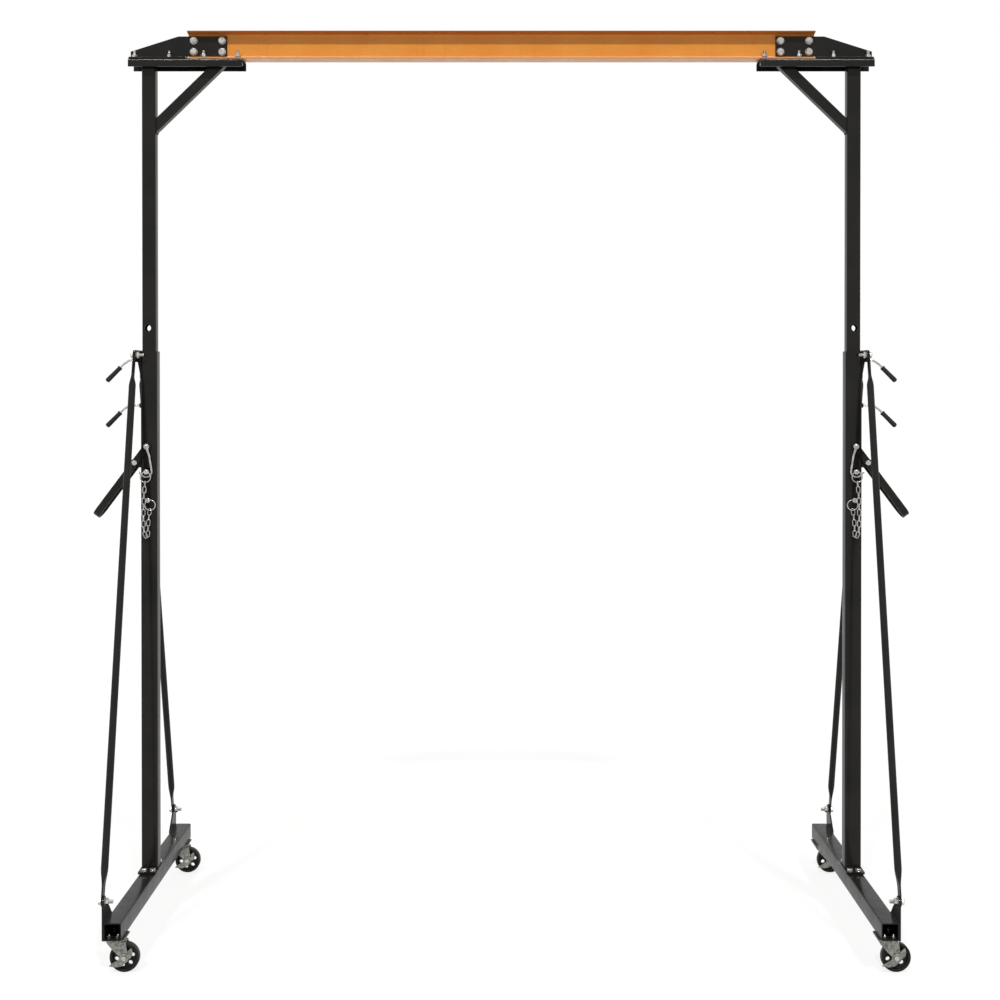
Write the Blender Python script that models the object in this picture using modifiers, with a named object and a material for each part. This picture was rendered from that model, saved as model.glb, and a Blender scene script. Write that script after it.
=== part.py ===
"""Portable gantry crane with pinned telescopic masts.

An I-beam is bolted to two head channels. Each channel is welded to an inner mast, which
slides in an outer mast and is held there by two pins and two clamp screws. Each outer mast
stands on a base beam with two braces and two braked swivel casters. A jack lever with two
hook links lifts the inner mast by one hole at a time.

Metres, +Z up, X along the I-beam, origin on the floor under its middle.
"Outboard" is away from the middle of the crane: the left side is -X.
"""

import math

import bmesh
import bpy
from mathutils import Matrix, Vector

NAME = "portable_gantry_crane"

# Fits
GAP = 0.0003                    # between two pieces that touch
RUNNING = 0.0003                # radial clearance round what turns
MAST_FIT = 0.001                # each side, between the inner and the outer mast
WELD = 0.0005                   # how far a welded piece is let into the next
PAST = 0.010                    # how far a cutting tool runs past what it cuts

# Overall layout
SPAN = 2.600                    # between the mast centres
BASE_LENGTH = 1.214
OUTER_MAST_LENGTH = 1.9117      # above its foot plate
INNER_MAST_LENGTH = 2.026
SIDES = {"left": -1, "right": 1}
ENDS = {"front": -1, "rear": 1}

# Base beam and its ears
BASE_SIZE = 0.060
BASE_WALL = 0.004
CORNER_RADIUS = 0.005
EAR_THICKNESS = 0.005
EAR_FOOT = 0.119                # along the beam, from its end
EAR_TOP_WIDTH = 0.046
EAR_RISE = 0.085                # above the beam
EAR_BOLT_INSET = 0.025          # from the beam's end
EAR_BOLT_RISE = 0.065           # above the beam

# Masts
OUTER_SIZE = 0.060
OUTER_WALL = 0.004
INNER_WALL = 0.003
FOOT_THICKNESS = 0.008
FOOT_LENGTH = 0.152             # along the base beam
FOOT_MARGIN = 0.004             # each side of the outer mast

# Pins, and the holes and slots for them
PIN_RADIUS = 0.0095
PIN_EXTRA_LENGTH = 0.050        # more than the outer mast's width
PIN_DOME = 0.004
PIN_STAND_OUTS = {"lift": 0.028, "lock": 0.009}     # front end ahead of the outer mast
PIN_SHIFTS = {"lift": 0.0011, "lock": -0.0007}      # outboard of the slot's middle
SLOT_PLAY = 0.0015              # each side of a pin, in the outer mast's slot
CLEARANCE = 0.0025              # each side of a pin, in the inner mast
SLOT_HEADROOM = 0.003           # over the lift pin
SLOT_OUTBOARD = 0.004           # of the mast's centre
HOLE_PITCH = 0.106
LOCK_PIN_DROP = 0.550           # below the top of the outer mast
PITCHES_UP = 3                  # travel of the inner mast from here, in holes
PITCHES_DOWN = 4
TOP_HOLE = 6                    # counted up from the lock pin
TOP_HOLE_TO_HEAD = 0.989        # top hole to the top of the head channel
RING_RADIUS = 0.019
RING_WIRE = 0.002
RING_INSET = 0.0045             # behind the pin's front end
RING_LEANS = {"lift": math.radians(8), "lock": math.radians(-26)}

# Head: channel, gussets, knee brace
CHANNEL_OVERHANG = 0.070        # outboard of the mast's centre
CHANNEL_LENGTH = 0.419
CHANNEL_WIDTH = 0.100
CHANNEL_DEPTH = 0.0305
CHANNEL_WALL = 0.005
CHANNEL_RADIUS = 0.008
GUSSET_OVERLAP = 0.143          # along the web, from the beam's end
GUSSET_SHOULDER = 0.037         # from the beam's end to where its top slopes down
GUSSET_INSET = 0.001            # from the channel's outboard end
GUSSET_THICKNESS = 0.005
GUSSET_END_HEIGHT = 0.032
GUSSET_FOOT_WIDTH = 0.044
GUSSET_FOOT_THICKNESS = 0.006
GUSSET_FOOT_GAP = 0.004         # from the beam's end
GUSSET_LIFT = 0.0067            # over the lower flange
GUSSET_DROP = 0.006             # under the upper flange
KNEE_SIZE = 0.038
KNEE_WALL = 0.003
KNEE_ANGLE = math.radians(44)
KNEE_DROP = 0.269               # top of the channel to the lower end's lowest corner

# I-beam
BEAM_INSET = 0.144              # its end from the mast's centre
BEAM_DEPTH = 0.1037
FLANGE_WIDTH = 0.068
FLANGE_TIP = 0.006
FLANGE_ROOT = 0.010
WEB_THICKNESS = 0.005
ROOT_FILLET = 0.004

# Brace bracket at the top of the outer mast
WING_THICKNESS = 0.005
WING_STAND_OFF = 0.010          # its back from the mast
WING_BOTTOM_DROP = 0.040        # below the mast's top
WING_BOLT_OUT = 0.023           # bolt from the mast's front or rear face
WING_MARGIN = 0.017             # bolt to the plate's edge
WING_BOLT_DROP = 0.014
RIB_THICKNESS = 0.005
RIB_INSET = 0.0035              # its middle from the mast's side
RIB_DROP = 0.103
WING_RISE = 0.004

# Braces
BRACE_RADIUS = 0.0125
BRACE_BORE = 0.0105
BRACE_FLAT_WIDTH = 0.036
BRACE_FLAT_THICKNESS = 0.005
BRACE_FLAT_LENGTH = 0.045       # bolt centre to the start of the round
BRACE_BLEND = 0.065             # flat to round
BOLT_HOLE_RADIUS = 0.0065
DRAIN_RADIUS = 0.0025
DRAIN_RISE = 0.030              # from the lower end of the bore

# Clamp screws
SCREW_RADIUS = 0.004
SCREW_DROPS = {"upper": 0.033, "lower": 0.200}      # below the mast's top
SCREW_STRAIGHT = 0.054          # outer mast's face to the bend
CRANK_DROP = math.radians(45)
CRANK_ARM = 0.046               # bend to the grip
GRIP_RADIUS = 0.0093
GRIP_LENGTH = 0.064
GRIP_BORE_DEPTH = 0.052
NUT_RADIUS = 0.010
NUT_LENGTH = 0.010

# Jack lever and its hook links
PIVOT_STAND_OFF = 0.021         # from the outer mast's face
PIVOT_RISE = 0.033              # above the lift pin
PIVOT_RADIUS = 0.006
PIVOT_HEAD_RADIUS = 0.011
PIVOT_HEAD_LENGTH = 0.0075
PIVOT_COLLAR_RADIUS = 0.009
LUG_THICKNESS = 0.005
LUG_INSET = 0.0055              # its middle from the mast's side
LUG_RADIUS = 0.016
LEVER_ANGLE = math.radians(53.1)
LEVER_STRAP = 0.005
LEVER_WIDTH = 0.026
LEVER_LENGTH = 0.248            # pivot to the end of the loop
EYE_OUTBOARD = 0.002            # hook's eye from the slot's middle
LEVER_EYE_RADIUS = 0.016
LEVER_GAP = 0.001               # strap to mast
HOOK_WIRE = 0.004
HOOK_PLAY = 0.006               # round the lift pin
HOOK_GAP = 0.002                # between the lever's strap and the hook
EYE_STUD_RADIUS = 0.005
EYE_RADIUS = 0.0105
EYE_LENGTH = 0.009
EYE_HEAD_RADIUS = 0.008
EYE_HEAD_LENGTH = 0.005

# Chain between the two pins
CHAIN_RADIUS = 0.0045
CHAIN_ROUTE = (                 # from the mast's centre, its front and the lock pin
    (0.0135, 0.0235, 0.010), (0.0145, 0.0235, -0.070), (0.0125, 0.0220, -0.117),
    (0.0050, 0.0170, -0.137), (-0.0025, 0.0100, -0.118), (-0.0045, 0.0058, -0.080))

# Casters: measured round the swivel axis, the wheel trails towards +X
CASTER_INSET = 0.056            # swivel axis from the base beam's end
CASTER_PLATE_X = 0.075
CASTER_PLATE_Y = 0.096
CASTER_PLATE_THICKNESS = 0.004
RACE_RADIUS = 0.028
RACE_THICKNESS = 0.007
KINGPIN_RADIUS = 0.006
KINGPIN_HEAD_RADIUS = 0.009
KINGPIN_HEAD_LENGTH = 0.0035
CROWN_THICKNESS = 0.004
CROWN_RADIUS = 0.030
TRAIL = 0.030
WHEEL_RADIUS = 0.050
PLATE_CLEARANCE = 0.0197        # wheel to the top of the plate
WHEEL_WIDTH = 0.030
HUB_WIDTH = 0.033
HUB_RADIUS = 0.015
RIM_DEPTH = 0.010
WEB_HALF = 0.005
WHEEL_HOLES = 6
WHEEL_HOLE_RADIUS = 0.0075
WHEEL_HOLE_CIRCLE = 0.0275
WHEEL_HOLE_START = math.radians(-20)
WHEEL_STEPS = 32
AXLE_RADIUS = 0.005
AXLE_HEAD_RADIUS = 0.0092
AXLE_HEAD_LENGTH = 0.006
FORK_THICKNESS = 0.003
FORK_FRONT = 0.020              # leg ahead of the swivel axis, at the crown
FORK_REAR = 0.010               # leg behind the axle, at the crown
FORK_HUB_RADIUS = 0.013
PEDAL_THICKNESS = 0.0025
PEDAL_HUB_RADIUS = 0.017

# Finishes: colour, roughness, metallic
BLACK_PAINT = ((0.030, 0.028, 0.028), 0.42, 0.0)
ORANGE_PAINT = ((0.70, 0.29, 0.055), 0.38, 0.0)
ZINC = ((0.62, 0.62, 0.60), 0.34, 1.0)
BLACK_PLASTIC = ((0.020, 0.020, 0.020), 0.55, 0.0)
BLACK_WHEEL = ((0.014, 0.014, 0.014), 0.45, 0.0)

# Worked out from the values above
MAST_X = SPAN / 2
FACE_X = MAST_X + OUTER_SIZE / 2                    # outboard face of the outer mast
FRONT_Y = OUTER_SIZE / 2                            # front or rear face of the outer mast
BEAM_END = MAST_X - BEAM_INSET
CHANNEL_OUTER_X = MAST_X + CHANNEL_OVERHANG
CHANNEL_INNER_X = CHANNEL_OUTER_X - CHANNEL_LENGTH
SLOT_RADIUS = PIN_RADIUS + SLOT_PLAY
CLEARANCE_RADIUS = PIN_RADIUS + CLEARANCE
PIN_LENGTH = OUTER_SIZE + PIN_EXTRA_LENGTH
FOOT_WIDTH = OUTER_SIZE + 2 * FOOT_MARGIN
WING_BOLT_Y = FRONT_Y + WING_BOLT_OUT
FLOOR_TO_PLATE = 2 * WHEEL_RADIUS + PLATE_CLEARANCE
BASE_BOTTOM = FLOOR_TO_PLATE + GAP
BASE_TOP = BASE_BOTTOM + BASE_SIZE
FOOT_BOTTOM = BASE_TOP + GAP
OUTER_BOTTOM = FOOT_BOTTOM + FOOT_THICKNESS
OUTER_TOP = OUTER_BOTTOM + OUTER_MAST_LENGTH
LOCK_PIN_Z = OUTER_TOP - LOCK_PIN_DROP
INNER_SIZE = OUTER_SIZE - 2 * OUTER_WALL - 2 * MAST_FIT
TOP_HOLE_Z = LOCK_PIN_Z + TOP_HOLE * HOLE_PITCH
HEAD_TOP = TOP_HOLE_Z + TOP_HOLE_TO_HEAD
HEAD_UNDERSIDE = HEAD_TOP - CHANNEL_WALL
INNER_TOP = HEAD_UNDERSIDE - GAP
INNER_BOTTOM = INNER_TOP - INNER_MAST_LENGTH
BEAM_BOTTOM = HEAD_TOP + GAP
LIFT_PIN_Z = LOCK_PIN_Z + HOLE_PITCH
SLOT_X = MAST_X + SLOT_OUTBOARD
PIN_SEAT = SLOT_RADIUS - PIN_RADIUS - GAP
SLOT_LOW = LOCK_PIN_Z + math.sqrt(PIN_SEAT ** 2 - PIN_SHIFTS["lock"] ** 2)
SLOT_HIGH = LIFT_PIN_Z + SLOT_HEADROOM
PIVOT_X = FACE_X + PIVOT_STAND_OFF
PIVOT_Z = LIFT_PIN_Z + PIVOT_RISE
LEVER_SHORT_ARM = (PIVOT_X - SLOT_X - EYE_OUTBOARD) / math.cos(LEVER_ANGLE)
STRAP_INNER_Y = FRONT_Y + LEVER_GAP
STRAP_OUTER_Y = STRAP_INNER_Y + LEVER_STRAP
HOOK_Y = STRAP_OUTER_Y + GAP + HOOK_GAP + EYE_LENGTH / 2
HOOK_BEND = PIN_RADIUS + HOOK_PLAY + HOOK_WIRE
WING_BACK_X = FACE_X + WING_STAND_OFF
WING_FACE_X = WING_BACK_X + WING_THICKNESS
EAR_FACE_X = MAST_X + BASE_SIZE / 2 + EAR_THICKNESS
CASTER_Y = BASE_LENGTH / 2 - CASTER_INSET
RACE_BOTTOM = FLOOR_TO_PLATE - CASTER_PLATE_THICKNESS - RACE_THICKNESS
CROWN_TOP = RACE_BOTTOM - GAP
CROWN_BOTTOM = CROWN_TOP - CROWN_THICKNESS
FORK_INNER_Y = HUB_WIDTH / 2 + GAP
FORK_OUTER_Y = FORK_INNER_Y + FORK_THICKNESS
PEDAL_OUTER_Y = FORK_OUTER_Y + GAP + PEDAL_THICKNESS


# ---------------------------------------------------------------- scene and materials

def new_collection(name):
    made = bpy.data.collections.new(name)
    bpy.context.scene.collection.children.link(made)
    return made


for old in list(bpy.data.objects):
    bpy.data.objects.remove(old)
PARTS = new_collection(NAME)
CUTTERS = new_collection("cutters")


def material(name, finish):
    colour, roughness, metallic = finish
    made = bpy.data.materials.new(name)
    made.use_nodes = True
    shader = made.node_tree.nodes["Principled BSDF"]
    shader.inputs["Base Color"].default_value = (*colour, 1.0)
    shader.inputs["Roughness"].default_value = roughness
    shader.inputs["Metallic"].default_value = metallic
    made.diffuse_color = (*colour, 1.0)
    return made


# ---------------------------------------------------------------- working solids

def solid(bm):
    """A working solid. It stays with the cutters unless a part takes it."""
    mesh = bpy.data.meshes.new("solid")
    bm.to_mesh(mesh)
    bm.free()
    made = bpy.data.objects.new("solid", mesh)
    CUTTERS.objects.link(made)
    made.hide_render = True
    made.display_type = "WIRE"
    return made


def box(low, high):
    low, high = Vector(low), Vector(high)
    bm = bmesh.new()
    place = Matrix.Translation((low + high) / 2) @ Matrix.Diagonal((*(high - low), 1))
    bmesh.ops.create_cube(bm, size=1, matrix=place)
    return solid(bm)


def rod(start, end, radius, sides=20):
    """A round bar, or a hexagon with six sides."""
    start, end = Vector(start), Vector(end)
    turn = (end - start).to_track_quat("Z", "Y").to_matrix().to_4x4()
    bm = bmesh.new()
    bmesh.ops.create_cone(
        bm, cap_ends=True, segments=sides, radius1=radius, radius2=radius,
        depth=(end - start).length, matrix=Matrix.Translation((start + end) / 2) @ turn)
    return solid(bm)


def evaluated_mesh(made):
    """What the object's curve or modifiers make, with shared corners merged."""
    bpy.context.view_layer.update()
    graph = bpy.context.evaluated_depsgraph_get()
    mesh = bpy.data.meshes.new_from_object(made.evaluated_get(graph))
    bm = bmesh.new()
    bm.from_mesh(mesh)
    bmesh.ops.remove_doubles(bm, verts=bm.verts, dist=0.00001)
    bm.to_mesh(mesh)
    bm.free()
    return mesh


def from_curve(curve):
    """The solid that a curve makes."""
    drawn = bpy.data.objects.new("curve", curve)
    CUTTERS.objects.link(drawn)
    mesh = evaluated_mesh(drawn)
    bpy.data.objects.remove(drawn)
    bm = bmesh.new()
    bm.from_mesh(mesh)
    bmesh.ops.recalc_face_normals(bm, faces=bm.faces)
    return solid(bm)


def spline(curve, points, closed):
    line = curve.splines.new("POLY")
    line.points.add(len(points) - 1)
    for point, place in zip(line.points, points):
        point.co = (*place, 1.0)
    line.use_cyclic_u = closed


AXES = {
    "X": Matrix(((0, 0, 1, 0), (1, 0, 0, 0), (0, 1, 0, 0), (0, 0, 0, 1))),
    "Y": Matrix(((1, 0, 0, 0), (0, 0, -1, 0), (0, 1, 0, 0), (0, 0, 0, 1))),
    "Z": Matrix.Identity(4),
}


def prism(outline, axis, low, high):
    """A flat outline pushed along an axis. It is drawn in (y, z), (x, z) or (x, y)."""
    low, high = min(low, high), max(low, high)
    curve = bpy.data.curves.new("outline", "CURVE")
    curve.dimensions = "2D"
    curve.fill_mode = "BOTH"
    curve.extrude = (high - low) / 2
    spline(curve, [(a, b, 0) for a, b in outline], closed=True)
    made = from_curve(curve)
    middle = Vector([(low + high) / 2 if axis == name else 0 for name in "XYZ"])
    made.data.transform(Matrix.Translation(middle) @ AXES[axis])
    return made


def wire(points, radius):
    """A round wire along points, with flat ends."""
    curve = bpy.data.curves.new("wire", "CURVE")
    curve.dimensions = "3D"
    curve.bevel_depth = radius
    curve.bevel_resolution = 2
    curve.use_fill_caps = True
    spline(curve, points, closed=False)
    return from_curve(curve)


def turned(profile, steps=20, closed=False):
    """A profile of (radius, height), down its outer side, turned round Z."""
    bm = bmesh.new()
    verts = [bm.verts.new((radius, 0, height)) for radius, height in profile]
    for one, two in zip(verts, verts[1:]):
        bm.edges.new((one, two))
    if closed:
        bm.edges.new((verts[-1], verts[0]))
    made = solid(bm)
    screw = made.modifiers.new("turn", "SCREW")
    screw.steps = steps
    screw.render_steps = steps
    screw.use_merge_vertices = True
    screw.merge_threshold = 0.00001
    made.data = evaluated_mesh(made)
    made.modifiers.clear()
    return made


def arc(centre, radius, start, end, steps):
    """Points on an arc, in degrees."""
    angles = [math.radians(start + (end - start) * i / steps) for i in range(steps + 1)]
    return [(centre[0] + radius * math.cos(a), centre[1] + radius * math.sin(a))
            for a in angles]


def rounded_square(size, radius, centre=(0, 0)):
    reach = size / 2 - radius
    points = []
    for quarter in range(4):
        turn = math.radians(45 + 90 * quarter)
        corner = (centre[0] + reach * math.copysign(1, math.cos(turn)),
                  centre[1] + reach * math.copysign(1, math.sin(turn)))
        points += arc(corner, radius, 90 * quarter, 90 * quarter + 90, 2)
    return points


def capsule(one, two, radius, steps=12):
    """A slot's outline between two centres in a vertical line, `one` the lower."""
    return arc(two, radius, 0, 180, steps) + arc(one, radius, 180, 360, steps)


# ---------------------------------------------------------------- parts

def boolean(part, tools, operation):
    """One step for all the tools, so that no rounding builds up between them."""
    group = bpy.data.collections.new(f"{operation.lower()}_tools")
    for tool in tools:
        group.objects.link(tool)
    step = part.modifiers.new(operation.lower(), "BOOLEAN")
    step.operation = operation
    step.solver = "EXACT"
    step.operand_type = "COLLECTION"
    step.collection = group


def join(part, *tools):
    boolean(part, tools, "UNION")


def cut(part, *tools):
    boolean(part, tools, "DIFFERENCE")


def take(name, made, finish, origin=(0, 0, 0), parent=None):
    """Turn a working solid into the named part, with its origin where it turns."""
    origin = Vector(origin)
    made.name = name
    made.data.name = name
    made.data.transform(Matrix.Translation(-origin))
    made.location = origin
    made.parent = parent
    CUTTERS.objects.unlink(made)
    PARTS.objects.link(made)
    made.hide_render = False
    made.display_type = "TEXTURED"
    made.data.materials.clear()
    made.data.materials.append(material(name, finish))
    made.data.shade_smooth()
    made.data.set_sharp_from_angle(angle=math.radians(40))
    return made


def baked(made):
    """A working solid with its modifiers applied, for pieces that are repeated."""
    made.data = evaluated_mesh(made)
    tools = [tool for step in made.modifiers for tool in step.collection.objects]
    made.modifiers.clear()
    for tool in tools:
        bpy.data.objects.remove(tool)
    return made


def mirrored(side, outline):
    """An outline drawn outboard, moved to its side."""
    return [(side * x, z) for x, z in outline]


# ---------------------------------------------------------------- top frame

def make_i_beam():
    half, web = FLANGE_WIDTH / 2, WEB_THICKNESS / 2
    quarter = [(half, 0), (half, FLANGE_TIP), (web + ROOT_FILLET, FLANGE_ROOT),
               (web, FLANGE_ROOT + ROOT_FILLET)]
    right = quarter + [(y, BEAM_DEPTH - z) for y, z in reversed(quarter)]
    outline = right + [(-y, z) for y, z in reversed(right)]
    section = [(y, BEAM_BOTTOM + z) for y, z in outline]
    beam = prism(section, "X", -BEAM_END, BEAM_END)
    take("i_beam", beam, ORANGE_PAINT)


def make_head_channel(label, side):
    half, low = CHANNEL_WIDTH / 2, HEAD_TOP - CHANNEL_DEPTH
    inner = half - CHANNEL_WALL
    fillet = CHANNEL_RADIUS - CHANNEL_WALL
    outline = (arc((half - CHANNEL_RADIUS, HEAD_TOP - CHANNEL_RADIUS), CHANNEL_RADIUS, 0, 90, 3)
               + arc((CHANNEL_RADIUS - half, HEAD_TOP - CHANNEL_RADIUS), CHANNEL_RADIUS, 90, 180, 3)
               + [(-half, low), (-inner, low)]
               + arc((fillet - inner, HEAD_UNDERSIDE - fillet), fillet, 180, 90, 2)
               + arc((inner - fillet, HEAD_UNDERSIDE - fillet), fillet, 90, 0, 2)
               + [(inner, low), (half, low)])
    channel = prism(outline, "X", side * CHANNEL_INNER_X, side * CHANNEL_OUTER_X)
    take(f"{label}_head_channel", channel, BLACK_PAINT)


def make_gusset(label, side, end, way):
    """One of the two plates that clamp the web, with a foot on the channel."""
    foot_x = BEAM_END + GUSSET_FOOT_GAP
    inner, outer = BEAM_END - GUSSET_OVERLAP, CHANNEL_OUTER_X - GUSSET_INSET
    low = HEAD_TOP + GAP
    raised = BEAM_BOTTOM + FLANGE_ROOT + GUSSET_LIFT
    top = BEAM_BOTTOM + BEAM_DEPTH - FLANGE_ROOT - GUSSET_DROP
    outline = [(inner, raised), (inner, top), (BEAM_END + GUSSET_SHOULDER, top),
               (outer, low + GUSSET_END_HEIGHT), (outer, low), (foot_x, low), (foot_x, raised)]
    near = way * (WEB_THICKNESS / 2 + GAP)
    plate = prism(mirrored(side, outline), "Y", near, near + way * GUSSET_THICKNESS)
    x_range = sorted((side * foot_x, side * outer))
    y_range = sorted((near, way * GUSSET_FOOT_WIDTH))
    foot = box((x_range[0], y_range[0], low), (x_range[1], y_range[1], low + GUSSET_FOOT_THICKNESS))
    gusset = take(f"{label}_gusset_{end}", plate, BLACK_PAINT)
    join(gusset, foot)


def make_inner_mast(label, side):
    centre = (side * MAST_X, 0)
    mast = prism(rounded_square(INNER_SIZE, CORNER_RADIUS, centre), "Z", INNER_BOTTOM, INNER_TOP)
    inside = INNER_SIZE - 2 * INNER_WALL
    bore = prism(rounded_square(inside, CORNER_RADIUS - INNER_WALL, centre), "Z",
                 INNER_BOTTOM - INNER_WALL, INNER_TOP + INNER_WALL)
    mast = take(f"{label}_inner_mast", mast, BLACK_PAINT)
    low, high = LOCK_PIN_Z - PITCHES_UP * HOLE_PITCH, LIFT_PIN_Z + PITCHES_DOWN * HOLE_PITCH
    slot = mirrored(side, capsule((SLOT_X, low), (SLOT_X, high), CLEARANCE_RADIUS))
    cut(mast, bore, prism(slot, "Y", -INNER_SIZE, INNER_SIZE),
        rod((side * SLOT_X, -INNER_SIZE, TOP_HOLE_Z), (side * SLOT_X, INNER_SIZE, TOP_HOLE_Z),
            CLEARANCE_RADIUS))


def make_knee_brace(label, side):
    """A square tube, mitred to the mast's face and to the channel's underside."""
    face = MAST_X - INNER_SIZE / 2 - GAP
    rise, run = math.sin(KNEE_ANGLE), math.cos(KNEE_ANGLE)
    low = HEAD_TOP - KNEE_DROP

    def outline(inset, face_x, top_z):
        bottom = low + inset / run + (face - face_x) * rise / run
        height = (KNEE_SIZE - 2 * inset) / run
        corners = [(face_x, bottom), (face_x, bottom + height)]
        return corners + [(face_x - (top_z - z) * run / rise, top_z) for _, z in corners[::-1]]

    half = KNEE_SIZE / 2
    tube = prism(mirrored(side, outline(0, face, INNER_TOP)), "Y", -half, half)
    bore = prism(mirrored(side, outline(KNEE_WALL, face + KNEE_WALL, INNER_TOP + KNEE_WALL)),
                 "Y", KNEE_WALL - half, half - KNEE_WALL)
    cut(take(f"{label}_knee_brace", tube, BLACK_PAINT), bore)


# ---------------------------------------------------------------- base frames

def make_base_beam(label, side):
    middle = (side * MAST_X, BASE_BOTTOM + BASE_SIZE / 2)
    end = BASE_LENGTH / 2
    beam = prism(rounded_square(BASE_SIZE, CORNER_RADIUS, middle), "Y", -end, end)
    bore = prism(rounded_square(BASE_SIZE - 2 * BASE_WALL, CORNER_RADIUS - BASE_WALL, middle),
                 "Y", -end - BASE_WALL, end + BASE_WALL)
    beam = take(f"{label}_base_beam", beam, BLACK_PAINT)
    cut(beam, bore)
    top = BASE_TOP + EAR_RISE
    corner = EAR_TOP_WIDTH / 2
    for way in ENDS.values():
        ends = [(end, BASE_BOTTOM), (end, top - corner)]
        crown = arc((end - corner, top - corner), corner, 0, 110, 6)
        foot = [(end - EAR_FOOT, BASE_TOP), (end - EAR_FOOT, BASE_BOTTOM)]
        outline = [(way * y, z) for y, z in ends[:1] + crown + foot]
        ear = prism(outline, "X", side * (EAR_FACE_X - EAR_THICKNESS - WELD), side * EAR_FACE_X)
        bolt_y, bolt_z = way * (end - EAR_BOLT_INSET), BASE_TOP + EAR_BOLT_RISE
        join(beam, ear)
        cut(beam, rod((side * MAST_X, bolt_y, bolt_z), (side * (EAR_FACE_X + PAST), bolt_y, bolt_z),
                      BOLT_HOLE_RADIUS, sides=16))


def wing_bracket(side):
    """Plate and two ribs that carry the braces, and the holes in them."""
    top = OUTER_TOP + WING_RISE
    low = OUTER_TOP - WING_BOTTOM_DROP
    x_range = sorted((side * WING_BACK_X, side * WING_FACE_X))
    half = WING_BOLT_Y + WING_MARGIN
    plate = box((x_range[0], -half, low), (x_range[1], half, top))
    wall = FACE_X - WELD
    outline = [(wall, OUTER_TOP), (WING_BACK_X + WELD, OUTER_TOP),
               (WING_BACK_X + WELD, low), (wall, OUTER_TOP - RIB_DROP)]
    rib_y = FRONT_Y - RIB_INSET
    ribs = [prism(mirrored(side, outline), "Y", way * rib_y - RIB_THICKNESS / 2,
                  way * rib_y + RIB_THICKNESS / 2) for way in (-1, 1)]
    bolt_z = OUTER_TOP - WING_BOLT_DROP
    holes = [rod((x_range[0] - PAST, way * WING_BOLT_Y, bolt_z),
                 (x_range[1] + PAST, way * WING_BOLT_Y, bolt_z), BOLT_HOLE_RADIUS, sides=16)
             for way in (-1, 1)]
    return [plate, *ribs], holes


def lever_pivot(side):
    """Two lugs, with the lever's bolt through them and its head and nut outside the strap."""
    x, wall, lug_y = side * PIVOT_X, FACE_X - WELD, FRONT_Y - LUG_INSET
    outline = ([(wall, PIVOT_Z - LUG_RADIUS)]
               + arc((PIVOT_X, PIVOT_Z), LUG_RADIUS, -90, 90, 8)
               + [(wall, PIVOT_Z + LUG_RADIUS)])
    lugs = [prism(mirrored(side, outline), "Y", way * lug_y - LUG_THICKNESS / 2,
                  way * lug_y + LUG_THICKNESS / 2) for way in (-1, 1)]
    seat = STRAP_OUTER_Y + GAP
    reach = seat + PIVOT_HEAD_LENGTH
    collar = STRAP_INNER_Y - GAP
    bolt = rod((x, -reach + WELD, PIVOT_Z), (x, reach - WELD, PIVOT_Z), PIVOT_RADIUS)
    sleeve = rod((x, -collar, PIVOT_Z), (x, collar, PIVOT_Z), PIVOT_COLLAR_RADIUS)
    heads = [rod((x, way * seat, PIVOT_Z), (x, way * reach, PIVOT_Z), PIVOT_HEAD_RADIUS, sides=6)
             for way in (-1, 1)]
    return [*lugs, sleeve, bolt, *heads]


def make_outer_mast(label, side):
    centre = (side * MAST_X, 0)
    tube = prism(rounded_square(OUTER_SIZE, CORNER_RADIUS, centre), "Z", OUTER_BOTTOM - WELD,
                 OUTER_TOP)
    foot = box((side * MAST_X - FOOT_WIDTH / 2, -FOOT_LENGTH / 2, FOOT_BOTTOM),
               (side * MAST_X + FOOT_WIDTH / 2, FOOT_LENGTH / 2, OUTER_BOTTOM))
    mast = take(f"{label}_outer_mast", tube, BLACK_PAINT)
    plates, holes = wing_bracket(side)
    clamps = [OUTER_TOP - drop for drop in SCREW_DROPS.values()]
    near, far = FACE_X - WELD, FACE_X + NUT_LENGTH + WELD
    nuts = [rod((side * near, 0, height), (side * far, 0, height), NUT_RADIUS, sides=6)
            for height in clamps]
    inside = OUTER_SIZE - 2 * OUTER_WALL
    bore = prism(rounded_square(inside, CORNER_RADIUS - OUTER_WALL, centre), "Z",
                 OUTER_BOTTOM, OUTER_TOP + 2 * WING_RISE)
    slot = mirrored(side, capsule((SLOT_X, SLOT_LOW), (SLOT_X, SLOT_HIGH), SLOT_RADIUS))
    screws = [rod((side * MAST_X, 0, height), (side * (WING_FACE_X + NUT_LENGTH), 0, height),
                  SCREW_RADIUS + RUNNING) for height in clamps]
    join(mast, foot, *plates, *nuts, *lever_pivot(side))
    cut(mast, bore, prism(slot, "Y", -OUTER_SIZE, OUTER_SIZE), *holes, *screws)


def brace_section(half_width, half_thickness, sides=12):
    """A circle, or a flat strip with round edges, with the same number of points."""
    reach = half_width - half_thickness
    points = []
    for step in range(sides):
        angle = 2 * math.pi * (step + 0.5) / sides
        shift = math.copysign(reach, math.cos(angle))
        points.append((shift + half_thickness * math.cos(angle), half_thickness * math.sin(angle)))
    return points


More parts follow.
